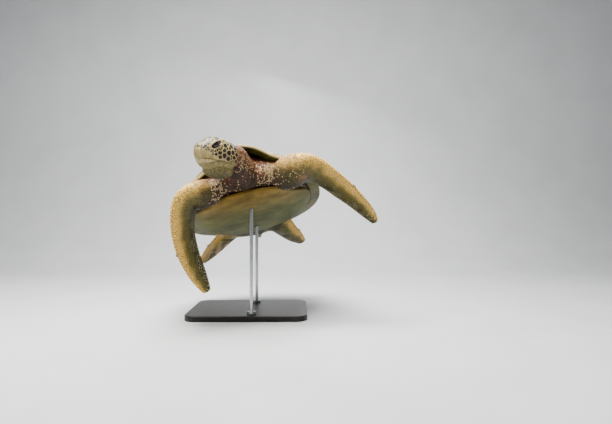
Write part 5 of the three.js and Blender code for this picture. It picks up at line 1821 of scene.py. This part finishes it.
@dataclass
class Coat:
    """Every scale on the animal."""

    builder: ScaleBuilder
    rng: np.random.Generator = field(default_factory=lambda: np.random.default_rng(SEED))
    taken: list = field(default_factory=list)  # rows of place and radius that scales cover
    # Places in the body's frame that are flecked with cream, with how far each spreads.
    flecked: tuple = (
        *((112, -356, -42, 36), (86, -367, -20, 34), (-160, -392, -48, 48)),
        *((-120, -366, -54, 38), (18, -478, 5, 24), (32, -430, 4, 30)),
    )
    large: float = 6.4  # the radius past which a scale of the head is a plate

    def build(self) -> list[Thing]:
        """Lays the scales of the limbs and head, then the small ones on the rest."""
        out = []
        for name, limb in LIMBS.items():
            scales = LimbScales(limb) if "front" in name else LimbScales(limb, 9.5, 11.0, 0.42)
            placed = scales.field(self.rng)
            every = np.ones(len(placed.along), bool)
            out.append(self.lay(f"scales_{name}", placed, every, LIMB_STYLE, BODY))
        placed, laid = HeadScales().field(self.rng)
        big = placed.radius > self.large
        for name, chosen, style in (("large", laid & big, HEAD_LARGE), ("small", laid & ~big, HEAD_SMALL)):
            out.append(self.lay(f"scales_head_{name}", placed, chosen, style, HEAD_FRAME))
        front = Granules(6.0, -FAR, -120, (0, -420, 0))
        rear = Granules(9.0, 120, FAR, (0, 420, -90))
        out += self.scatter(("scales_neck", "scales_chest"), front)
        return out + self.scatter(("scales_tail",), rear)

    def lay(
        self, name: str, placed: ScaleField, chosen: Array, style: ScaleStyle, matrix: Array
    ) -> Thing:
        """One piece of scales from a chart.

        Args:
            name: The piece's name.
            placed: The scales on their chart.
            chosen: Which of them are laid.
            style: How they are built up.
            matrix: From the chart's frame to the shared one.
        """
        places = carried(placed.places(chosen, style), matrix)
        roots = places[:, -1]
        on_skin, _ = drape(roots, self.builder.skin)
        local = carried(on_skin, TO_BODY)
        shown = (np.linalg.norm(on_skin - roots, axis=1) < 4.2) & ~Granules.covered(local)
        along = placed.along[chosen] / placed.chart.lengths[-1]
        patch = 0.02 + 0.96 * np.column_stack([along, placed.turn[chosen] % 1.0])
        self.taken.append(np.column_stack([on_skin, placed.radius[chosen]])[shown])
        return self.builder.piece(name, places[shown], patch[shown], style, MARKINGS.at(local)[:, shown])

    def paint(self, local: Array) -> Array:
        """The colours of the small scales, some flecked with cream, and of the skin between."""
        scale, gap = MARKINGS.at(local)
        pale = 0.05 + 0.14 * smooth_step(ripple(local, 90, 3.0), 0.0, 0.9)
        for *middle, reach in self.flecked:
            pale = pale + 0.55 * bump(np.linalg.norm(local - middle, axis=1), 0, reach)
        pale = pale * (0.45 + 1.1 * smooth_step(ripple(local, 26, 1.0), -0.4, 0.5))
        behind = carried(local, BODY_TO_HEAD)[:, 1] > 96
        pick = (self.rng.random(len(local)) < pale) & (local[:, 1] < 0) & behind
        scale = scale * (0.3 + 1.1 * self.rng.random((len(local), 1)))
        cream = pick * (0.5 + 0.5 * self.rng.random(len(local)))
        return np.array([mixed(scale, Hue.CREAM.light, cream), gap])

    def scatter(self, names: tuple, granules: Granules) -> list[Thing]:
        """Small scales over bare skin, unrolled round the line of the body, in one or two pieces."""
        style = GRANULE
        spots = granules.seeds(self.builder.skin, np.vstack(self.taken), self.rng)
        spots, facing = drape(spots, self.builder.skin)
        near, _ = neighbours(spots, 12)
        ahead = BODY[:3, 1]
        first = unit(ahead - facing * (facing @ ahead)[:, None])
        second = np.cross(facing, first)
        offset = spots[near] - spots[:, None]
        offset[dot(facing[near], facing[:, None]) < 0.1] = FAR
        flat = np.stack([dot(offset, first[:, None]), dot(offset, second[:, None])], axis=-1)
        stretch = np.linalg.norm(offset, axis=-1) / np.maximum(np.linalg.norm(flat, axis=-1), 1e-6)
        flat = flat * np.minimum(stretch, 2.0)[..., None]
        radius = np.full(len(spots), granules.spacing * 0.55)
        angles = turns_of(style.around)
        reach = cell_reach(flat, radius, radius[near], angles, style.cap) - style.gap
        way = np.cos(angles)[:, None] * first[:, None] + np.sin(angles)[:, None] * second[:, None]
        rim = spots[:, None, None] + style.shares[None, :, None, None] * (reach[..., None] * way)[:, None]
        places = np.concatenate([rim.reshape(len(spots), -1, 3), spots[:, None]], axis=1)
        local = carried(spots, TO_BODY)
        away = local - np.array(granules.root, float)
        run = np.abs(away[:, 1]) * 0.6 + np.hypot(away[:, 0], away[:, 2])
        patch = 0.5 + 0.48 * (run / run.max())[:, None] * ways_of(np.arctan2(away[:, 2], away[:, 0]))
        tint = self.paint(local)
        front = local[:, 1] < granules.divide
        chosen = (front, ~front) if len(names) == 2 else (np.ones(len(spots), bool),)
        return [
            self.builder.piece(name, places[rows], patch[rows], style, tint[:, rows])
            for name, rows in zip(names, chosen)
        ]


# ------------------------------------------------------------------ stand


@dataclass(frozen=True)
class Stand:
    """A rounded board with two rods in collars."""

    width: float = 560.0
    depth: float = 460.0
    thickness: float = 25.0
    corner: float = 60.0
    edge: float = 4.0
    rod_radius: float = 8.0
    rod_spots: tuple = (-150.0, 170.0)
    collar_radius: float = 20.0
    collar_height: float = 14.0
    clearance: float = 0.3

    def board(self) -> Shape:
        """The board, its upper edge rounded over."""
        turn = (np.arange(128) + 0.5) * FULL_TURN / 128
        side = self.thickness - self.edge
        rows = [(0.8, 0.0), (0.0, 0.8), (0.0, side)]
        roll = np.linspace(0, math.pi / 2, 7)[1:]
        rows += [(self.edge * (1 - math.cos(a)), side + self.edge * math.sin(a)) for a in roll]
        rows += [(40.0, self.thickness), (120.0, self.thickness)]
        rings = []
        for inward, height in rows:
            corner = max(self.corner - inward, 8)
            x = (self.width / 2 - inward - corner) * np.sign(np.cos(turn)) + corner * np.cos(turn)
            y = (self.depth / 2 - inward - corner) * np.sign(np.sin(turn)) + corner * np.sin(turn)
            rings.append(np.column_stack([x, y, np.full(len(turn), height)]))
        return skinned(np.array(rings))

    def spots(self) -> list[Array]:
        """Where each rod meets the plastron, in the shared frame."""
        return [carried(np.array([0.0, y, PLASTRON_LEVEL]), BODY) for y in self.rod_spots]

    def rod(self, spot: Array) -> Shape:
        """A rod that ends just under the plastron, its top cut to the plastron's slope."""
        r, low, high = self.rod_radius, self.thickness + self.clearance, spot[2]
        profile = ((r - 0.6, low), (r, low + 0.6), (r, low + 40), (r, high - 40), (r, high))
        shape = skinned(lathed(spot, profile))
        top = shape.points[:, 2] > high - 1
        local = carried(shape.points[top], TO_BODY)
        drop = SHELL.belly(local[:, 0], local[:, 1]) - 1.2 - local[:, 2]
        shape.points[top, 2] += drop / BODY[2, 2]
        return shape

    def collar(self, spot: Array) -> Shape:
        """A collar with its upper edge taken off, bored for its rod."""
        r, low, bore = self.collar_radius, self.thickness + self.clearance, self.rod_radius + self.clearance
        high = low + self.collar_height
        outside = ((bore, low), (r - 0.6, low), (r, low + 0.6), (r, high - 2.5), (r - 2.5, high))
        inside = ((bore + 0.9, high), (bore, high - 0.9))
        return wrapped(lathed(spot, outside + inside).transpose(1, 0, 2))


# ------------------------------------------------------------------ finishes


def shades(*rows: tuple) -> tuple:
    """Stops of a ramp from rows of place, red, green and blue, given out of 255."""
    return tuple((place, colour(*shade)) for place, *shade in rows)


@dataclass(frozen=True)
class Mark:
    """A value stored on the mesh."""

    name: str
    output: str = "Fac"


@dataclass(frozen=True)
class Grain:
    """Noise over the object's own coordinates, perhaps stretched, or over a stored place."""

    scale: float
    detail: float = 3.0
    over: Mark | None = None
    stretch: tuple | None = None


@dataclass(frozen=True)
class Span:
    """0 to 1 between two values of a mark, or of the object's Y in metres."""

    low: float
    high: float
    of: Mark | None = None


@dataclass(frozen=True)
class Ramp:
    """A value turned into a colour by stops of place and colour."""

    value: Mark | Grain | Span
    stops: tuple


@dataclass(frozen=True)
class Layer:
    """A colour laid over those before it."""

    mode: str
    share: object
    colour: object


SPOKE = Mark("spoke", "Vector")
SEAM = Mark("seam")
TINT = Mark("tint", "Color")


class Nodes:
    """A material's node tree, put together step by step."""

    def __init__(self, name: str) -> None:
        """Starts a material with a plain shader."""
        self.material = bpy.data.materials.new(name)
        self.material.use_nodes = True
        self.tree = self.material.node_tree
        self.shader = self.tree.nodes["Principled BSDF"]

    def add(self, kind: str, inputs: dict | None = None, **settings: object) -> bpy.types.Node:
        """A node with some of its settings, its inputs linked or set."""
        node = self.tree.nodes.new(f"ShaderNode{kind}")
        for key, value in settings.items():
            setattr(node, key, value)
        for key, value in (inputs or {}).items():
            self.feed(node.inputs[key], value)
        return node

    def feed(self, target: Socket, value: object) -> None:
        """Links a socket to its source, or sets its number, colour or vector."""
        if isinstance(value, (Mark, Grain, Span, Ramp, Socket)):
            self.tree.links.new(self.source(value), target)
        elif isinstance(value, tuple) and target.type == "RGBA":
            target.default_value = (*value, 1)
        else:
            target.default_value = value

    def source(self, value: object) -> Socket:
        """The socket that gives a mark, grain, span or ramp."""
        if isinstance(value, Mark):
            return self.add("Attribute", attribute_name=value.name).outputs[value.output]
        if isinstance(value, Grain):
            place = value.over or self.add("TexCoord").outputs["Object"]
            if value.stretch:
                place = self.add("Mapping", {"Vector": place, "Scale": value.stretch}).outputs["Vector"]
            inputs = {"Vector": place, "Scale": value.scale, "Detail": value.detail}
            return self.add("TexNoise", inputs).outputs["Fac"]
        if isinstance(value, Span):
            place = self.add("TexCoord").outputs["Object"]
            along = value.of or self.add("SeparateXYZ", {0: place}).outputs["Y"]
            inputs = {"Value": along, "From Min": value.low, "From Max": value.high}
            return self.add("MapRange", inputs).outputs["Result"]
        if isinstance(value, Ramp):
            node = self.add("ValToRGB", {"Fac": value.value})
            band = node.color_ramp
            for element, (place, shade) in zip(band.elements, (value.stops[0], value.stops[-1])):
                element.position, element.color = place, (*shade, 1)
            for place, shade in value.stops[1:-1]:
                band.elements.new(place).color = (*shade, 1)
            return node.outputs["Color"]
        return value


@dataclass(frozen=True)
class Finish:
    """A material: its colour and the layers over it, its roughness, relief and gloss.

    Rough holds the least and greatest roughness; each row of relief is a height with a strength
    and a distance in metres; settings are numbers of the shader.
    """

    name: str
    base: object
    rough: tuple
    gloss: float
    layers: tuple = ()
    relief: tuple = ()
    settings: tuple = ()

    def material(self) -> bpy.types.Material:
        """The finish as a material."""
        nodes = Nodes(self.name)
        base = self.base
        for layer in self.layers:
            mix = nodes.add("Mix", data_type="RGBA", blend_type=layer.mode)
            for key, value in ((0, layer.share), (6, base), (7, layer.colour)):
                nodes.feed(mix.inputs[key], value)
            base = mix.outputs[2]
        spread = {"Value": Grain(140), "To Min": self.rough[0], "To Max": self.rough[1]}
        inputs = {"Base Color": base, "Roughness": nodes.add("MapRange", spread).outputs["Result"]}
        inputs |= {"Specular IOR Level": self.gloss, **dict(self.settings)}
        for height, strength, distance in self.relief:
            bump_inputs = {"Height": height, "Strength": strength, "Distance": distance}
            if "Normal" in inputs:
                bump_inputs["Normal"] = inputs["Normal"]
            inputs["Normal"] = nodes.add("Bump", bump_inputs).outputs["Normal"]
        for key, value in inputs.items():
            nodes.feed(nodes.shader.inputs[key], value)
        return nodes.material


def dark_where_low(share: float, value: object, low: float, shade: tuple, high: float) -> Layer:
    """A layer that multiplies by a shade below one value, and by white above another."""
    return Layer("MULTIPLY", share, Ramp(value, ((low, shade), (high, (1, 1, 1)))))


def grey(level: float) -> tuple:
    """A share as a colour."""
    return (level, level, level)


# Leathery skin, in the colours stored on it.
SKIN = Finish(
    "skin_leather",
    TINT,
    (0.42, 0.6),
    0.4,
    (dark_where_low(0.55, Grain(70, 5), 0.3, (0.5, 0.48, 0.45), 0.7),),
    ((Grain(420, 4), 0.5, 0.0008), (Grain(130, 3), 0.35, 0.002)),
)
# Horny scales, in the colours stored on them.
SCALE = Finish(
    "scale_horn",
    TINT,
    (0.34, 0.5),
    0.45,
    (dark_where_low(0.5, Grain(230, 4), 0.3, (0.55, 0.52, 0.48), 0.65),),
    ((Grain(600, 4), 0.3, 0.0004),),
)
# Olive-brown plates with amber streaks that spread from where each began to grow.
BACK_STREAKS = shades((0.34, 40, 33, 22), (0.45, 84, 68, 40), (0.56, 104, 94, 56), (0.66, 158, 128, 72))
BACK_SEAM = ((0.0, grey(0.75)), (0.06, grey(0.35)), (0.2, grey(0.0)))
CARAPACE = Finish(
    "carapace_plate",
    Ramp(Grain(5.2, 5, SPOKE), BACK_STREAKS),
    (0.3, 0.46),
    0.45,
    (
        dark_where_low(0.5, Grain(17.0, 3, SPOKE), 0.35, (0.55, 0.5, 0.42), 0.6),
        dark_where_low(0.5, Grain(9, 3), 0.35, (0.6, 0.62, 0.58), 0.65),
        dark_where_low(0.45, Grain(52.0, 4, SPOKE), 0.38, (0.5, 0.46, 0.38), 0.56),
        Layer("MIX", Ramp(SEAM, BACK_SEAM), colour(150, 136, 92)),
        dark_where_low(1.0, SEAM, 0.0, (0.25, 0.22, 0.18), 0.02),
    ),
    ((Grain(52.0, 4, SPOKE), 0.16, 0.0006), (Grain(260, 4), 0.12, 0.0005)),
)
# The rim's plates: as the carapace, paling to the edge, and olive underneath.
RIM_STREAKS = shades((0.36, 52, 43, 28), (0.47, 96, 80, 50), (0.57, 138, 116, 76), (0.68, 188, 160, 112))
RIM_SEAM = ((0.0, grey(0.8)), (0.24, grey(0.65)), (0.5, grey(0.0)))
MARGINAL = Finish(
    "marginal_plate",
    Ramp(Grain(4.2, 5, SPOKE), RIM_STREAKS),
    (0.42, 0.58),
    0.28,
    (
        dark_where_low(0.45, Grain(40.0, 4, SPOKE), 0.38, (0.6, 0.56, 0.46), 0.58),
        Layer("MIX", Ramp(SEAM, RIM_SEAM), colour(196, 172, 124)),
        dark_where_low(1.0, SEAM, 0.0, (0.3, 0.27, 0.2), 0.02),
        Layer("MIX", Mark("under"), Ramp(Grain(16, 4), shades((0.32, 56, 58, 31), (0.7, 98, 92, 52)))),
    ),
    ((Grain(240, 4), 0.14, 0.0005),),
)
# Yellow-olive under plates, clouded and a little darker along their seams.
GOLD = Ramp(Grain(14, 5), shades((0.32, 100, 82, 41), (0.7, 148, 121, 65)))
UNDER_SEAM = ((0.0, (0.8, 0.77, 0.68)), (0.05, (0.93, 0.91, 0.84)), (0.5, (1, 1, 1)))
PLASTRON = Finish(
    "plastron_plate",
    Ramp(Grain(9, 4), shades((0.32, 66, 72, 37), (0.7, 104, 105, 56))),
    (0.5, 0.66),
    0.22,
    (
        Layer("MIX", Span(-0.05, -0.34), GOLD),
        dark_where_low(0.3, Grain(70, 4), 0.35, (0.62, 0.58, 0.46), 0.6),
        Layer("MULTIPLY", 1.0, Ramp(SEAM, UNDER_SEAM)),
    ),
    ((Grain(220, 4), 0.12, 0.0006),),
)
# Pale horn with darker upright streaks.
STREAKS = Grain(170, 4, stretch=(1.0, 1.0, 0.22))
FOOT = ((0.0, (1, 0.99, 0.95)), (0.4, (1, 1, 1)), (0.8, (0.93, 0.89, 0.78)), (1.0, (0.55, 0.5, 0.4)))
BEAK = Finish(
    "beak_horn",
    Ramp(STREAKS, shades((0.32, 134, 120, 84), (0.46, 176, 160, 114), (0.68, 206, 186, 138))),
    (0.3, 0.44),
    0.5,
    (Layer("MULTIPLY", 1.0, Ramp(Mark("down"), FOOT)),),
    ((STREAKS, 0.18, 0.0006),),
)
# Brown horn, mottled in two tones.
NAIL = Finish(
    "claw_horn",
    Ramp(Grain(260, 3), shades((0.3, 120, 104, 72), (0.7, 184, 170, 126))),
    (0.28, 0.4),
    0.5,
    relief=((Grain(500, 3), 0.1, 0.0003),),
)
# A dark wet eye: pupil, brown iris with rays, and a dark margin.
IRIS = shades((0.25, 56, 40, 24), (0.38, 38, 28, 18))
MARGIN = shades((0.6, 40, 35, 29), (1.0, 30, 26, 22))
PUPIL = ((0.0, (0.002, 0.002, 0.002)), (0.21, (0.003, 0.002, 0.002)))
EYE = Finish(
    "eye_wet",
    Ramp(Span(0.0, 1.2, Mark("polar")), (*PUPIL, *IRIS, (0.44, (0.006, 0.005, 0.004)), *MARGIN)),
    (0.06, 0.1),
    0.6,
    (dark_where_low(0.4, Grain(900, 3), 0.3, grey(0.4), 0.7),),
    ((Grain(300, 2), 0.02, 0.0002),),
    (("Coat Weight", 1.0), ("Coat Roughness", 0.02)),
)
# Black-stained wood under satin varnish.
WOOD_GRAIN = Grain(5, 6, stretch=(1.5, 22.0, 8.0))
WOOD = Finish(
    "stand_board_wood",
    Ramp(WOOD_GRAIN, shades((0.3, 24, 21, 19), (0.7, 48, 42, 37))),
    (0.32, 0.46),
    0.5,
    relief=((WOOD_GRAIN, 0.08, 0.0004),),
)
BRUSHING = Grain(60, 3, stretch=(1.0, 1.0, 30.0))
STEEL = Finish(
    "stand_brushed_steel",
    Ramp(BRUSHING, ((0.3, (0.42, 0.43, 0.45)), (0.7, (0.6, 0.61, 0.63)))),
    (0.24, 0.36),
    0.5,
    relief=((BRUSHING, 0.05, 0.0002),),
    settings=(("Metallic", 1.0),),
)
# The pale floor and wall.
PAPER = Finish(
    "studio_paper",
    Ramp(Grain(3, 2), ((0.3, (0.62, 0.63, 0.64)), (0.7, (0.66, 0.67, 0.68)))),
    (0.8, 0.9),
    0.2,
)

# ------------------------------------------------------------------ studio


@dataclass(frozen=True)
class Studio:
    """A pale floor that sweeps up behind, soft lights and the camera."""

    eye: tuple = (0.245, -2.600, 0.492)
    look: tuple = (0.0122, 0.9999)
    lens: float = 31.2
    aim: tuple = (0.0, 0.0, 0.5)
    lamps: tuple = (
        ("lamp_above", (-0.3, -0.7, 2.9), 1.6, 205.0, (1.0, 0.98, 0.95)),
        ("lamp_left", (2.6, -1.8, 1.6), 1.6, 10.0, (1.0, 0.97, 0.93)),
        ("lamp_right", (-2.8, -1.6, 1.3), 1.8, 15.0, (0.93, 0.97, 1.0)),
        ("lamp_behind", (0.6, 2.2, 2.6), 1.6, 40.0, (1.0, 1.0, 1.0)),
    )

    def sweep(self) -> Thing:
        """Floor and wall as one curved sheet."""
        bend = np.linspace(0.1, math.pi / 2, 14)
        curl = np.column_stack([1.6 + 1.4 * np.sin(bend), 1.4 * (1 - np.cos(bend))])
        line = np.array([(-3.5, 0.0), (0.0, 0.0), (1.6, 0.0), *curl, (3.0, 4.5)])
        points = np.array([[x, y, z] for y, z in line for x in (-5.0, 5.0)]) * 1000.0
        i = np.arange(len(line) - 1) * 2
        quads = np.stack([i, i + 1, i + 3, i + 2], axis=1)
        obj = mesh_object("studio_floor", Shape(points, quads, np.zeros((0, 3), int)), FLOOR)
        obj.data.materials.append(PAPER.material())
        return obj

    def lamp(self, name: str, place: Sequence[float], size: float, power: float, tone: tuple) -> Thing:
        """A square lamp that faces the turtle."""
        data = bpy.data.lights.new(name, "AREA")
        data.shape, data.size, data.energy, data.color = "SQUARE", size, power, tone
        obj = bpy.data.objects.new(name, data)
        obj.location = place
        x, y, z = np.array(self.aim) - np.array(place)
        obj.rotation_euler = (math.atan2(math.hypot(x, y), -z), 0.0, math.atan2(-x, y))
        bpy.context.scene.collection.objects.link(obj)
        return obj

    def build(self) -> None:
        """Lights, floor and camera."""
        self.sweep()
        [self.lamp(*row) for row in self.lamps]
        world = bpy.data.worlds.new("studio_world")
        world.use_nodes = True
        world.node_tree.nodes["Background"].inputs["Color"].default_value = (0.8, 0.84, 0.88, 1)
        world.node_tree.nodes["Background"].inputs["Strength"].default_value = 0.2
        bpy.context.scene.world = world
        data = bpy.data.cameras.new("camera")
        data.lens, data.sensor_width = self.lens, 36.0
        camera = bpy.data.objects.new("camera", data)
        camera.location = self.eye
        camera.rotation_euler = (math.pi / 2, 0.0, -math.atan2(*self.look))
        bpy.context.scene.collection.objects.link(camera)
        bpy.context.scene.camera = camera


# ------------------------------------------------------------------ the whole


@dataclass
class Turtle:
    """Puts the pieces together and hides the imported solids that each stands for."""

    flesh: tuple = ("trunk", "neck", "tail", "head", "lower_jaw")

    def settle(
        self, piece: Thing, finish: bpy.types.Material, slot: str, nodes: Sequence[str] = ()
    ) -> None:
        """Gives a piece its finish and its place in the table.

        Args:
            piece: The piece's object.
            finish: Its material.
            slot: The name of its finish's kind, written to the log.
            nodes: The solids that it stands for, or none where it lies over them.
        """
        LOG.info("%s: %d faces, %s", piece.name, len(piece.data.polygons), slot)
        piece.data.materials.clear()
        piece.data.materials.append(finish)
        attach(piece, "root")
        if nodes:
            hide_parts(*nodes)

    def build(self) -> None:
        """Every piece of the animal and its stand."""
        skin = Flesh().build()
        scale = SCALE.material()
        for piece in Coat(ScaleBuilder(skin)).build():
            self.settle(piece, scale, "skin")
        flippers = [f"front_{side}_{part}" for side, _ in SIDES for part in ("arm", "flipper")]
        flippers += [f"rear_{side}_flipper" for side, _ in SIDES]
        self.settle(skin, SKIN.material(), "skin", [*self.flesh, *flippers])
        carapace, marginal, plastron = CARAPACE.material(), MARGINAL.material(), PLASTRON.material()
        for name, shape in Carapace().build():
            finish = carapace if name.startswith(("vertebral", "costal")) else marginal
            self.settle(mesh_object(f"{name}_plate", shape, BODY), finish, "carapace", [name])
        for name, shape in Plastron().build():
            self.settle(mesh_object(f"{name}_plate", shape, BODY), plastron, "plastron", [name])
        horn, eye, nail = BEAK.material(), EYE.material(), NAIL.material()
        for name, form in (("beak_upper", UPPER_BEAK), ("beak_lower", LOWER_BEAK)):
            self.settle(mesh_object(f"{name}_horn", form.shape(), HEAD_FRAME), horn, "beak", [name])
        for name, side in SIDES:
            ball = mesh_object(f"eye_{name}_ball", EyeForm(side).ball(), HEAD_FRAME)
            self.settle(ball, eye, "eye", [f"eye_{name}"])
        for name, limb in LIMBS.items():
            self.settle(mesh_object(f"{name}_claw_horn", claw(limb), BODY), nail, "claw", [f"{name}_claw"])
        self.stand(Stand())

    def stand(self, stand: Stand) -> None:
        """The stand's board, rods and collars."""
        board = mesh_object("stand_base_board", stand.board(), FLOOR)
        self.settle(board, WOOD.material(), "stand_board", ["stand_base"])
        steel = STEEL.material()
        for name, spot in zip(("front", "rear"), stand.spots()):
            for part, shape in (("rod", stand.rod(spot)), ("collar", stand.collar(spot))):
                piece = mesh_object(f"stand_{part}_{name}_steel", shape, FLOOR)
                self.settle(piece, steel, "stand_steel", [f"stand_{part}_{name}"])


def main() -> None:
    """Builds the scene."""
    logging.basicConfig(level=logging.INFO, format="%(message)s")
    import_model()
    Turtle().build()
    Studio().build()
    bpy.context.scene.view_settings.view_transform = "AgX"
    bpy.context.scene.view_settings.look = "AgX - Medium High Contrast"


if __name__ == "__main__":
    main()
